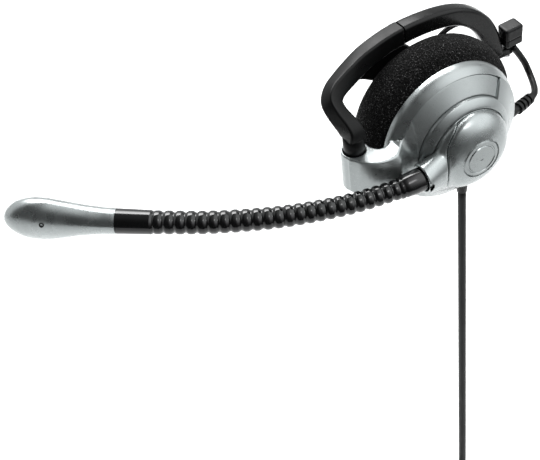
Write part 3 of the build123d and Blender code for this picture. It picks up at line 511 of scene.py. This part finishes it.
def cup_mesh():
    """Turned shell; inside the band's sector the profile dips into the band's seat."""
    lip = [(25.32, 4.38), (25.2, 4.34), (25.07, 4.2), (25.04, 3.7), (25.04, 2.62)]
    lip_s = [(25.3, 4.44), (25.15, 4.56), (25.0, 4.68), (24.8, 4.83), (24.5, 5.06)]
    seat = [(25.04 + (18.84 - 25.04) * t, 2.62 + (6.78 - 2.62) * t) for t in (0.15, 0.3, 0.45, 0.6, 0.75, 0.9)]
    seat_s = catmull([(24.5, 5.06), (23.2, 6.05), (21.5, 7.35), (20.0, 8.45), (18.95, 9.17)], 8)[[3, 8, 13, 18, 23, 28]].tolist()
    wall = [(18.84, 6.78), (18.84, 8.9), (18.79, 9.14), (18.66, 9.3)]
    wall_s = [(19.1, 9.07), (18.95, 9.17), (18.82, 9.25), (18.66, 9.35)]
    top = catmull([(18.5, 9.45), (18.0, 9.92), (17.2, 10.55), (16.4, 11.05), (15.95, 11.22)], 4).tolist()
    rest = [(15.8, 11.24), (15.66, 11.16), (15.6, 11.0), (15.6, 9.0), (3.45, 9.0), (3.45, 7.2), (15.8, 7.2), (17.4, 6.9), (23.2, 2.9), (24.9, 1.4), (25.2, 0.0), (25.2, -1.5)]
    dip = np.array(RIM[:-1] + [(25.45, 4.28)] + lip + seat + wall + top + rest)
    plain_ = np.array(RIM[:-1] + [(25.45, 4.32)] + lip_s + seat_s + wall_s + top + rest)
    step = 1
    angs = sorted(set([round(a, 3) for a in np.arange(0, 360, step)] +
                      [round(e + d, 3) for e in (43.0, 206.0) for d in (-0.9, -0.7, -0.55, -0.4, -0.2, 0.0, 0.2)]))
    verts, faces = [], []
    m = len(dip)
    for a in angs:
        inside_ = min(a - (43.0 - 0.62), (206.0 + 0.62) - a)
        w_ = min(1.0, max(0.0, inside_ / 0.24 + 0.5))
        w_ = w_ * w_ * (3 - 2 * w_)
        prof = plain_ * (1 - w_) + dip * w_
        c_, s_ = math.cos(math.radians(a)), math.sin(math.radians(a))
        for r, h in prof:
            verts.append((r * c_, -20.0 - h, r * s_))
    n = len(angs)
    for i in range(n):
        k = (i + 1) % n
        for j in range(m):
            l = (j + 1) % m
            faces.append((i * m + j, k * m + j, k * m + l, i * m + l))
    return verts, faces


V, F = cup_mesh()
cup = piece("cup_body", V, F, M["silver"])
split_sharp(cup, 30)
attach(cup, "housing")
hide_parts("cup_shell")

# ------------------------------------------------------------ the band, arm and barrel
HX, HY = -37.3, -16.9
arm_plan = [(-16.0, -29.6), (-24.3, -29.8), (-28.6, -29.6), (-32.4, -28.6), (-36.2, -26.6), (-39.2, -23.6), (-41.2, -19.8)]
arm_inner = [(-33.6, -16.9), (-32.6, -18.6), (-31.5, -20.6), (-30.2, -22.2), (-28.0, -23.3), (-25.4, -23.6), (-21.0, -22.4), (-16.0, -20.0)]
PLAN = np.concatenate([catmull(arm_plan, 5), catmull(arm_inner, 5)])
CUP_FORM = [(0, -8), (27.02, -8), (27.02, 0.2), (26.52, 1.92), (25.52, 4.32), (25.02, 4.2), (25.02, 2.6), (18.88, 6.8), (18.88, 12.0), (0, 12.0)]


def step01(v, a, b):
    t = np.clip((v - a) / (b - a), 0, 1)
    return t * t * (3 - 2 * t)


HP = catmull(arm_plan, 6)
HPX, HPH = HP[::-1, 0], -(HP[::-1, 1] + 20.0)
XT = [-45.0, -33.0, -30.0, -28.0, -25.0, -22.0, -20.5, -19.0, -17.0]
ZT = [9.4, 9.4, 9.4, 9.45, 9.95, 12.0, 14.3, 16.2, 18.4]


def arm_f(x, y, z):
    """The brushed band on the cup, twisting forward into the arm and its barrel."""
    r = np.hypot(x, z)
    h = -(y + 20.0)
    a = np.arctan2(z, x)
    hplan = np.interp(x, HPX, HPH)
    harm = hplan - 5.7 * step01(z, 5.0, 15.0) * step01(x, -36.0, -22.0)
    hband = 3.9 + (25.0 - r) * 0.6885
    top = hband + (harm - hband) * step01(-x, 19.3, 27.5)
    plan = poly_sd(x, y - (hplan - top), PLAN) * 0.85
    barrel = np.hypot(x - HX, y - HY) - 4.8
    walls = smin(plan, barrel, 1.2)
    slab = np.maximum((z - np.interp(x, XT, ZT)) * 0.85, -6.3 - z)
    arm = smax(walls, slab, 0.6)
    arm = smax(arm, np.maximum(x + 18.6, 19.02 - r), 0.3)
    band = smax(poly_sd(r, h, [(24.84, 4.01), (24.84, 2.7), (19.02, 6.75), (19.02, 8.02)]), sector(a, A1, A2, r), 0.3)
    band = smax(band, sector(a, A1 + 0.003, A2, r), 0.3)
    d = smin(arm, band, 0.4)
    d = smax(d, -poly_sd(r, h, CUP_FORM), 0.3)
    # mouth, bore and cap seat
    rb = np.hypot(x - HX, y - HY)
    mouth = np.maximum(rb - 3.95, 7.2 - z)
    bore = rb - 3.3
    capseat = np.maximum(rb - 4.0, z + 5.1)
    return smax(d, -smin(smin(mouth, bore, 0.05), capseat, 0.05), 0.35)


V, F = net(arm_f, (-42.9, -30.8, -14.0), (19.5, -11.4, 26.0), FINE)
arm = piece("arm_band", V, F, M["silver_band"])
split_sharp(arm, 62)
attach(arm, "housing")
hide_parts("hinge_arm")

# ------------------------------------------------------------ the turret
DOME = catmull([(15.3, 11.4), (15.1, 12.9), (14.5, 14.2), (13.3, 15.6), (11.6, 16.9), (9.6, 17.9), (7.6, 18.6)], 6)
DOME_POLY = np.concatenate([DOME, [(7.6, 18.75), (0, 19.0), (0, 9.45), (15.3, 9.45)]])
SEAM = catmull([(3.0, 15.9), (-0.4, 15.5), (-3.4, 14.7), (-6.3, 13.3), (-8.9, 11.1), (-10.9, 8.6), (-12.3, 5.4),
                (-13.3, 1.2), (-13.7, -3.2), (-13.4, -7.2), (-12.2, -11.4)], 5)
SEAM_POLY = np.concatenate([SEAM, [(-8.0, -22.0), (22.0, -22.0), (22.0, 20.0), (3.0, 20.0)]])


MOUTH_X = -22.2


def socket_f(x, y, z):
    """The flaring tube from the ferrule into the dome."""
    t = np.clip((x - MOUTH_X) / 14.2, 0, 1)
    cy = -(20.0 + 14.45 - 1.85 * t)
    cz = -0.2 - 2.4 * t ** 1.2
    ay = 5.5 - 0.8 * t
    az = 5.6 + 4.6 * t ** 1.15
    q = np.sqrt(((y - cy) / ay) ** 2 + ((z - cz) / az) ** 2)
    d = (q - 1) * np.minimum(ay, az) * 0.9
    return smax(d, np.maximum(MOUTH_X - x, x + 4.0), 0.5)


def turret_all(x, y, z):
    r = np.hypot(x, z)
    h = -(y + 20.0)
    dome = poly_sd(r, h, DOME_POLY)
    return dome, socket_f(x, y, z), r, h


CLEAR = [(0, 4.0), (32.0, 4.0), (32.0, 10.05), (19.2, 10.05), (16.8, 11.65), (15.3, 11.65), (15.3, 9.4), (0, 9.4)]


def dome_f(x, y, z):
    dome, sock, r, h = turret_all(x, y, z)
    d = smin(dome, sock, 1.3)
    side = poly_sd(x, z, SEAM_POLY)
    d = smax(d, side + 0.14, 0.5)
    d = np.maximum(d, 11.42 - h)
    inner = np.maximum(r - 13.4, h - (17.2 - 0.0 * r))
    inner = np.maximum(inner, poly_sd(r, h, DOME_POLY) + 1.5)
    d = np.maximum(d, -inner)
    seat = np.maximum(r - 7.42, 17.5 - h)
    hole = r - 3.8
    return smax(d, -np.minimum(seat, hole), 0.25)


def base_f(x, y, z):
    dome, sock, r, h = turret_all(x, y, z)
    disc = np.maximum(np.maximum(r - 15.3, 9.4 - h), h - 11.38)
    ring = np.maximum(r - 3.42, 0)
    flare = smin(sock, dome, 1.3)
    flare = smax(flare, -poly_sd(r, h, CLEAR), 0.25)
    side = poly_sd(x, z, SEAM_POLY)
    flare = smax(flare, -(side - 0.14), 0.5)
    d = smin(disc, flare, 0.3)
    d = smax(d, 3.42 - r, 0.1)
    bore = np.maximum(np.hypot(y + 34.3, z + 0.1) - 4.55, x + 19.0)
    return smax(d, -bore, 0.5)


V, F = net(dome_f, (-15.4, -39.4, -16.2), (16.2, -31.0, 16.6), FINE * 0.85)
dome = piece("turret_cover", V, F, M["silver_dome"])
split_sharp(dome, 75)
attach(dome, "turret")
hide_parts("turret_dome")

V, F = net(base_f, (-23.4, -39.6, -16.2), (16.2, -29.0, 16.6), FINE * 0.85)
base = piece("turret_socket", V, F, M["silver_dome"])
split_sharp(base, 75)
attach(base, "turret")
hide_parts("turret_base")


# ------------------------------------------------------------ tubes along lines
def frames_of(line, up=(0, 0, 1)):
    line = np.asarray(line, float)
    t = np.gradient(line, axis=0)
    t /= np.linalg.norm(t, axis=1, keepdims=True)
    up = np.array(up, float)
    out = []
    s = np.cross(up, t[0])
    s /= np.linalg.norm(s)
    for i in range(len(line)):
        s = s - t[i] * s.dot(t[i])
        s /= np.linalg.norm(s)
        out.append((line[i], t[i], s, np.cross(t[i], s)))
    return out


def skin(name, frames, radii, mat, sides=48, caps=True):
    """Tube through the frames; radii gives one radius or a (sides, 2) outline for each."""
    verts, faces = [], []
    for (p, t, s, u), r in zip(frames, radii):
        if np.ndim(r) == 0:
            a = np.linspace(0, 2 * np.pi, sides, endpoint=False)
            o = np.stack([np.cos(a) * r, np.sin(a) * r], 1)
        else:
            o = np.asarray(r)
        for q in o:
            verts.append(p + s * q[0] + u * q[1])
    n, m = len(frames), len(verts) // len(frames)
    for i in range(n - 1):
        for j in range(m):
            k = (j + 1) % m
            faces.append((i * m + j, i * m + k, (i + 1) * m + k, (i + 1) * m + j))
    if caps:
        faces.append(tuple(reversed(range(m))))
        faces.append(tuple(range((n - 1) * m, n * m)))
    return piece(name, verts, faces, mat)


# ------------------------------------------------------------ the boom
BS = [(-26.4, -34.1), (-30.92, -33.74), (-46.94, -30.15), (-62.98, -24.18), (-75.72, -17.91), (-91.34, -8.25), (-106.58, 3.19)]
BR = [3.5, 3.55, 3.7, 3.84, 3.95, 4.07, 4.19]
fine = catmull(BS, 60)
arc = np.concatenate([[0], np.cumsum(np.linalg.norm(np.diff(fine, axis=0), axis=1))])
at_station = arc[::60]


def boom_at(s):
    x = np.interp(s, arc, fine[:, 0])
    y = np.interp(s, arc, fine[:, 1])
    return np.stack([x, y, np.zeros_like(x)], -1)


S0, S1 = at_station[1] - 0.2, at_station[6]
fer = [(-18.8, 4.0), (-21.0, 4.15), (-22.8, 4.2), (-24.5, 4.2), (-26.4, 4.15), (-28.0, 3.95), (-29.3, 3.84), (-29.7, 3.55), (-30.0, 3.5), (-30.3, 3.78), (-30.9, 3.7), (-31.3, 3.3)]
fer_line = [(x_, float(np.interp(x_, [-46.94, -30.92, -26.4, -22.2, -18.0], [-30.15, -33.74, -34.1, -34.25, -34.3])), -0.06 if x_ > -24 else 0.0) for x_, _ in fer]
ferrule = skin("ferrule_sleeve", frames_of(fer_line), [r_ for _, r_ in fer], M["gloss"], 64)
split_sharp(ferrule, 40)
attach(ferrule, "turret")
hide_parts("boom_ferrule")
RIBS = 24
w = np.linspace(3.23, 3.87, RIBS)
w *= (S1 - S0) / w.sum()
edges_s = S0 + np.concatenate([[0], np.cumsum(w)])


def rib_radius(s):
    i = np.clip(np.searchsorted(edges_s, s, "right") - 1, 0, RIBS - 1)
    u = (s - edges_s[i]) / (edges_s[i + 1] - edges_s[i])
    crest = np.interp(s, at_station, BR)
    groove = np.abs(np.cos(np.pi * u)) ** 5
    return crest - 0.50 * groove - 0.10 * (1 - np.sin(np.pi * u))


cuts = [S0]
for k in (2, 3, 4):
    mid = (at_station[k] + at_station[k + 1]) / 2
    cuts.append(edges_s[np.argmin(np.abs(edges_s - mid))])
cuts.append(S1)
for k in range(4):
    a, b = cuts[k], cuts[k + 1]
    ss = np.arange(a, b + 1e-6, (b - a) / round((b - a) / (0.16)))
    line = boom_at(ss)
    sk = skin(f"gooseneck_{k + 1}", frames_of(line), rib_radius(np.clip(ss, S0 + 1e-4, S1 - 1e-4)), M["gloss"], 64)
    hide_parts(*([f"boom_sheath_{k + 1}"] if k < 3 else ["boom_sheath_4", "boom_sheath_5"]))
    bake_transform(sk)

# ------------------------------------------------------------ the microphone
MS, MT = np.array((-116.08, 11.01, 0.0)), np.array((-147.1, 36.66, 0.0))
mu = (MT - MS) / np.linalg.norm(MT - MS)
MIC = np.array([(0, 4.5, 4.5), (5, 4.6, 4.75), (11.5, 4.9, 5.7), (18.4, 5.4, 7.15), (24.7, 5.8, 8.4), (30, 5.75, 8.35), (35, 4.9, 6.75), (38.4, 3.2, 4.0), (40.2, 1.0, 1.2)])
mf = catmull(MIC, 8)
out_h = np.cross(np.array((0, 0, 1.0)), mu)
if out_h[1] > 0:
    out_h = -out_h
fr, outl = [], []
aa = np.linspace(0, 2 * np.pi, 72, endpoint=False)
L0, L1 = mf[0, 0], mf[-1, 0]
rows = [(0.0, 0.94), (0.12, 0.985)] + [(s, 1.0) for s in mf[2:, 0]]
for s, k in rows:
    hw = np.interp(s, mf[:, 0], mf[:, 1]) * k
    hh = np.interp(s, mf[:, 0], mf[:, 2]) * k
    fr.append((MS + mu * s, mu, out_h, np.array((0, 0, 1.0))))
    outl.append(np.stack([np.cos(aa) * hw, np.sin(aa) * hh], 1))
fr.append((MS + mu * (L1 + 0.25), mu, out_h, np.array((0, 0, 1.0))))
outl.append(np.stack([np.cos(aa) * 0.25, np.sin(aa) * 0.3], 1))
mic = skin("mic_capsule", fr, outl, M["silver_mic"])
split_sharp(mic, 45)
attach(mic, "bend_4")
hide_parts("mic_shell")

# ------------------------------------------------------------ the hook
HOOK = [(-37.3, 3.1, 15.4, 7.0, 6.6), (-37.6, 3.6, 17.6, 6.6, 6.2), (-38.6, 5.0, 20.2, 6.0, 5.8), (-40.0, 7.9, 23.8, 5.6, 5.6),
        (-39.8, 11.2, 26.4, 5.5, 6.0), (-36.7, 14.0, 27.8, 5.5, 6.3), (-31.9, 16.3, 28.4, 5.6, 6.6),
        (-27.3, 18.2, 28.8, 5.7, 6.8), (-20.5, 20.6, 29.5, 5.8, 6.9), (-12.1, 22.15, 30.3, 5.8, 7.0),
        (-3.8, 22.95, 30.55, 5.8, 7.2), (4.3, 23.15, 30.3, 5.8, 7.0), (12.8, 23.2, 29.15, 5.7, 6.9),
        (20.1, 23.4, 26.7, 5.5, 6.9), (26.2, 23.5, 22.7, 5.4, 7.0), (31.0, 23.6, 17.4, 5.4, 7.2),
        (34.2, 23.6, 11.4, 5.4, 7.0), (36.4, 23.6, 5.3, 5.4, 6.4), (37.8, 23.6, 0.0, 5.2, 5.6)]
hk = catmull([(x, y - 20, z, w_, t_) for x, y, z, w_, t_ in HOOK], 8)


def rrect(w_, t_, r, n=7, crown=0.0):
    """Rounded rectangle outline, w_ across and t_ deep."""
    pts = []
    hx, hy = w_ / 2, t_ / 2
    r = min(r, hx * 0.98, hy * 0.98)
    for cx, cy, a0 in ((hx - r, hy - r, 0), (-hx + r, hy - r, 90), (-hx + r, -hy + r, 180), (hx - r, -hy + r, 270)):
        for j in range(n):
            a = math.radians(a0 + 90 * j / (n - 1))
            x, y = cx + r * math.cos(a), cy + r * math.sin(a)
            x += crown * math.copysign(1, x) * (1 - (y / hy) ** 2)
            y += crown * math.copysign(1, y) * (1 - (x / hx) ** 2)
            pts.append((x, y))
    return np.array(pts)


def hook_frames(seg):
    out = []
    t = np.gradient(hk[:, :3], axis=0)
    t /= np.linalg.norm(t, axis=1, keepdims=True)
    for i in seg:
        p = hk[i, :3]
        tv = t[i] if i > 3 else np.array((0, 0, 1.0)) * (1 - i / 4) + t[i] * i / 4
        tv = tv / np.linalg.norm(tv)
        rad = np.array((p[0], 0, p[2] + 4.0))
        rad = rad - tv * rad.dot(tv)
        rad /= np.linalg.norm(rad)
        out.append((p, tv, np.cross(tv, rad), rad))
    return out


def bar(name, i0, i1, r, crown, mat, shift0=0.0, shift1=0.0):
    seg = list(range(i0, i1 + 1))
    frs = hook_frames(seg)
    outs = [rrect(hk[i, 3], hk[i, 4], r, 7, crown) for i in seg]
    p, t, s, u = frs[0]
    frs[0] = (p + t * shift0, t, s, u)
    p, t, s, u = frs[-1]
    frs[-1] = (p + t * shift1, t, s, u)
    # small bevels at the cut ends
    def ring(fr_, o, ds, k):
        p, t, s, u = fr_
        return (p + t * ds, t, s, u), o * k
    a = ring(frs[0], outs[0], 0.0, 0.93)
    b = ring(frs[-1], outs[-1], 0.0, 0.93)
    frs2 = [a[0]] + [ring(frs[0], outs[0], 0.22, 1)[0]] + frs[1:-1] + [ring(frs[-1], outs[-1], -0.22, 1)[0]] + [b[0]]
    outs2 = [a[1], outs[0]] + outs[1:-1] + [outs[-1], b[1]]
    return frs2, outs2


def join(name, parts, mat, body, rep, angle=45):
    verts, faces, off = [], [], 0
    for vs, fs in parts:
        verts += [tuple(v) for v in vs]
        faces += [tuple(i + off for i in f) for f in fs]
        off += len(vs)
    o = piece(name, verts, faces, mat)
    split_sharp(o, angle)
    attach(o, body)
    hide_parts(*rep)
    return o


def tube_data(frs, outs):
    verts, faces = [], []
    for (p, t, s, u), o in zip(frs, outs):
        for q in o:
            verts.append(p + s * q[0] + u * q[1])
    n, m = len(frs), len(outs[0])
    for i in range(n - 1):
        for j in range(m):
            k = (j + 1) % m
            faces.append((i * m + j, i * m + k, (i + 1) * m + k, (i + 1) * m + j))
    faces.append(tuple(reversed(range(m))))
    faces.append(tuple(range((n - 1) * m, n * m)))
    return verts, faces


WEB = catmull([(-27.0, 27.6), (-23.5, 20.8), (-19.5, 18.2), (-15.5, 15.5), (-10.0, 12.4), (-5.0, 11.6), (-1.0, 12.8), (1.0, 16.0), (1.2, 20.0), (-0.4, 23.4), (-3.6, 26.0)], 4)
WEB = np.concatenate([WEB, [(-4.4, 29.4), (-14.0, 29.4), (-21.0, 29.2)]])


def web_f(x, y, z):
    return smax(poly_sd(x, z, WEB), np.abs(y - 3.0) - 1.4, 1.1)


SP = 8 * 10
wv, wf = net(web_f, (-28.2, 0.9, 10.4), (2.4, 5.1, 30.6), 0.5)
fb = tube_data(*bar("front", 0, SP, 0.85, 0.06, None, 0.0, -0.12))
boss_fr = [(np.array((HX, HY, z)), np.array((0, 0, 1.0)), np.array((1.0, 0, 0)), np.array((0, 1.0, 0))) for z in (7.5, 7.7, 15.2, 15.5)]
ba = np.linspace(0, 2 * np.pi, 48, endpoint=False)
circ = np.stack([np.cos(ba), np.sin(ba)], 1)
boss = tube_data(boss_fr, [circ * 3.6, circ * 3.8, circ * 3.8, circ * 3.5])
hook_front = join("hook_front_bar", [fb, boss, (wv, wf)], M["hook_front"], "hook", ["hook_front"])

rb_ = tube_data(*bar("rear", SP, len(hk) - 1, 1.3, 0.10, None, 0.12, 0.0))
loop_pts = catmull([(28.5, 4.0, 19.0), (24.0, 4.0, 20.9), (20.0, 4.0, 21.6), (15.4, 4.0, 20.8), (11.5, 4.0, 17.6), (10.4, 4.0, 12.6),
                    (13.5, 4.0, 7.4), (20.0, 4.0, 4.4), (28.0, 4.0, 3.4), (35.5, 4.0, 3.8)], 8)
ca = np.linspace(0, 2 * np.pi, 20, endpoint=False)
loop = tube_data(frames_of(loop_pts, (0, 1, 0)), [np.stack([np.cos(ca), np.sin(ca)], 1) * 0.95] * len(loop_pts))


def foot_f(x, y, z):
    q = np.maximum(np.abs(x - 40.7) - 4.7, np.abs(y - 3.6) - 2.5)
    cx = np.maximum(np.abs(x - 40.7) - 3.3, 0)
    cy = np.maximum(np.abs(y - 3.6) - 1.1, 0)
    q = np.hypot(cx, cy) - 1.4
    foot = smax(q, np.abs(z) - 1.6, 0.5)
    post = np.maximum(np.hypot(x - 43.5, y - 3.6) - 1.5, np.abs(z - 2.5) - 1.1)
    return smin(foot, post, 0.3)


fv, ff = net(foot_f, (35.4, 0.6, -2.2), (46.0, 6.6, 4.2), 0.35)
hook_rear = join("hook_rear_bar", [rb_, loop, (fv, ff)], M["hook_rear"], "hook", ["hook_rear"])


def tail_f(x, y, z):
    t = np.clip((z - 3.6) / 8.2, 0, 1)
    hx, hy, cx0 = 3.6 + 0.3 * t, 2.8 + 0.2 * t, 43.7 - 0.3 * t
    r0 = 1.0
    q = np.hypot(np.maximum(np.abs(x - cx0) - hx + r0, 0), np.maximum(np.abs(y - 1.6) - hy + r0, 0)) - r0
    d = smax(q, np.maximum(3.6 - z, z - 12.0), 1.0)
    groove = np.hypot(np.maximum(np.abs(z - 7.2) - 0.05, 0), q + 0.0) - 0.16
    return smax(d, -groove, 0.12)


tv, tf = net(tail_f, (38.6, -2.4, 3.0), (48.6, 5.6, 12.8), 0.30)
tail = piece("tail_block_body", tv, tf, M["boss"])
split_sharp(tail, 50)
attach(tail, "hook")
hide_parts("tail_block")

# link lead: housing to hook
link = skin("link_lead", frames_of(link_line), [1.25] * len(link_line), M["jacket"], 24)
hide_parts("link_cord")
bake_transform(link)
main_cord = skin("headset_cord", frames_of(cord_line, (0, 1, 0)), [CORD_R] * len(cord_line), M["jacket"], 16)
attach(main_cord, "housing")
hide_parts("main_cord", "cord_coil", "cord_tail")

# ------------------------------------------------------------ the cushion
PADP = catmull([(25.6, -1.9), (27.0, -2.4), (30.0, -5.4), (31.0, -10.5), (29.8, -15.6), (26.5, -18.9), (22.0, -20.0), (17.5, -19.2), (13.0, -17.4), (7.0, -16.4), (0.0, -16.2)], 6)


def cushion():
    n = 128
    verts, faces = [], []
    prof = [(r, -(20 + h)) for r, h in PADP]
    ring = prof[:-1]
    for r, y in ring:
        for j in range(n):
            a = 2 * math.pi * j / n
            verts.append((r * math.cos(a), y, r * math.sin(a)))
    m = len(ring)
    for i in range(m - 1):
        for j in range(n):
            k = (j + 1) % n
            faces.append((i * n + j, i * n + k, (i + 1) * n + k, (i + 1) * n + j))
    c = len(verts)
    verts.append((0, prof[-1][1], 0))
    for j in range(n):
        faces.append(((m - 1) * n + j, (m - 1) * n + (j + 1) % n, c))
    # back, against the clamp ring
    c2 = len(verts)
    back = (20.2, -17.88)
    for j in range(n):
        a = 2 * math.pi * j / n
        verts.append((back[0] * math.cos(a), back[1], back[0] * math.sin(a)))
    for j in range(n):
        k = (j + 1) % n
        faces.append((j, c2 + j, c2 + k, k))
    c3 = len(verts)
    verts.append((0, -17.88, 0))
    for j in range(n):
        faces.append((c2 + j, c3, c2 + (j + 1) % n))
    return verts, faces


pv, pf = cushion()
pad = piece("foam_cushion", pv, pf, M["foam"])
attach(pad, "housing")
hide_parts("ear_pad")

# ------------------------------------------------------------ finishes of the carried-over nodes
FINISH = {
    "hinge_bush": "brass", "hinge_end_cap": "boss", "baffle_plate": "baffle", "speaker_frame": "steel", "speaker_magnet": "steel",
    "speaker_cone": "cone", "speaker_cloth": "cloth", "baffle_screws": "steel", "circuit_board": "card", "board_parts": "nickel",
    "pad_ring": "baffle", "badge_disc": "badge", "turret_spindle": "steel", "turret_nut": "brass", "spring_washer": "steel",
    "friction_washer": "washer", "mic_sleeve": "gloss", "mic_port_ring": "boss", "mic_holder": "rubber",
    "mic_element": "nickel", "hinge_pin": "steel", "tail_screw": "steel", "link_boot": "rubber", "cord_gland": "rubber",
    "plug_boot": "rubber", "plug_shell": "boss", "plug_contacts": "nickel", "plug_insulators": "ring_plastic", "cord_tie": "boss",
}
for k in range(1, 6):
    FINISH[f"boom_core_{k}"] = "steel"
for n, m in FINISH.items():
    dress_node(n, M[m])

# ------------------------------------------------------------ stage and light
scene.view_settings.view_transform = "Standard"
world = bpy.data.worlds.new("studio") if not scene.world else scene.world
scene.world = world
world.use_nodes = True
wt = world.node_tree
wt.nodes.clear()
wo = wt.nodes.new("ShaderNodeOutputWorld")
wb = wt.nodes.new("ShaderNodeBackground")
tc = wt.nodes.new("ShaderNodeTexCoord")
dot = wt.nodes.new("ShaderNodeVectorMath")
dot.operation = "DOT_PRODUCT"
dot.inputs[1].default_value = Vector((0.62, -0.38, 0.68)).normalized()
wt.links.new(tc.outputs["Generated"], dot.inputs[0])
half = wt.nodes.new("ShaderNodeMapRange")
half.inputs["From Min"].default_value = -1.0
half.inputs["From Max"].default_value = 1.0
wt.links.new(dot.outputs["Value"], half.inputs["Value"])
wr = wt.nodes.new("ShaderNodeValToRGB")
el = wr.color_ramp.elements
el[0].position, el[0].color = 0.60, (0.03, 0.03, 0.03, 1)
el[1].position, el[1].color = 0.955, (1, 1, 1, 1)
for at, v in ((0.68, 0.055), (0.775, 0.16), (0.845, 0.33), (0.92, 0.80)):
    e_ = el.new(at)
    e_.color = (v, v, v, 1)
wt.links.new(half.outputs["Result"], wr.inputs["Fac"])
lobe = wt.nodes.new("ShaderNodeMath")
lobe.operation = "MULTIPLY"
lobe.inputs[1].default_value = 1.7
wt.links.new(wr.outputs["Color"], lobe.inputs[0])
sp = wt.nodes.new("ShaderNodeSeparateXYZ")
wt.links.new(tc.outputs["Generated"], sp.inputs["Vector"])
back = wt.nodes.new("ShaderNodeMapRange")
back.interpolation_type = "SMOOTHSTEP"
back.inputs["From Min"].default_value = 0.15
back.inputs["From Max"].default_value = 0.65
back.inputs["To Min"].default_value = 0.0
back.inputs["To Max"].default_value = 0.75
wt.links.new(sp.outputs["Y"], back.inputs["Value"])
top_ = wt.nodes.new("ShaderNodeMath")
top_.operation = "MAXIMUM"
wt.links.new(lobe.outputs["Value"], top_.inputs[0])
wt.links.new(back.outputs["Result"], top_.inputs[1])
wb.inputs["Color"].default_value = (0.975, 0.995, 1.0, 1)
wt.links.new(top_.outputs["Value"], wb.inputs["Strength"])
wt.links.new(wb.outputs["Background"], wo.inputs["Surface"])


def area(name, loc, target, size, power, size_y=None, spread=180):
    d = bpy.data.lights.new(name, "AREA")
    d.spread = math.radians(spread)
    d.shape = "RECTANGLE" if size_y else "SQUARE"
    d.size = size
    if size_y:
        d.size_y = size_y
    d.energy = power
    o = bpy.data.objects.new(name, d)
    scene.collection.objects.link(o)
    o.location = loc
    v = Vector(target) - Vector(loc)
    o.rotation_euler = v.to_track_quat("-Z", "Y").to_euler()
    return o


area("key_front", (0.08, -0.52, 0.80), (-0.03, -0.02, 0), 0.30, 0.9, 0.24)
area("floor_wash", (0.30, 1.05, 0.85), (0.2, 0.58, -0.34), 1.0, 10, None, 90)

fm = Mat("studio_floor")
fm.set(Roughness=0.8, Specular_IOR_Level=0.2)
fm.link(fm.ramp(fm.noise(3.0, 3, 0.5), [(0.3, grey(0.86)), (0.7, grey(0.90))]), fm.bsdf.inputs["Base Color"])
fv_ = [(-4.0, -0.75, -0.345), (4.0, -0.75, -0.345), (4.0, 4.0, -0.345), (-4.0, 4.0, -0.345)]
floor = piece("floor", fv_, [(0, 1, 2, 3)], fm.m, False, 1.0)

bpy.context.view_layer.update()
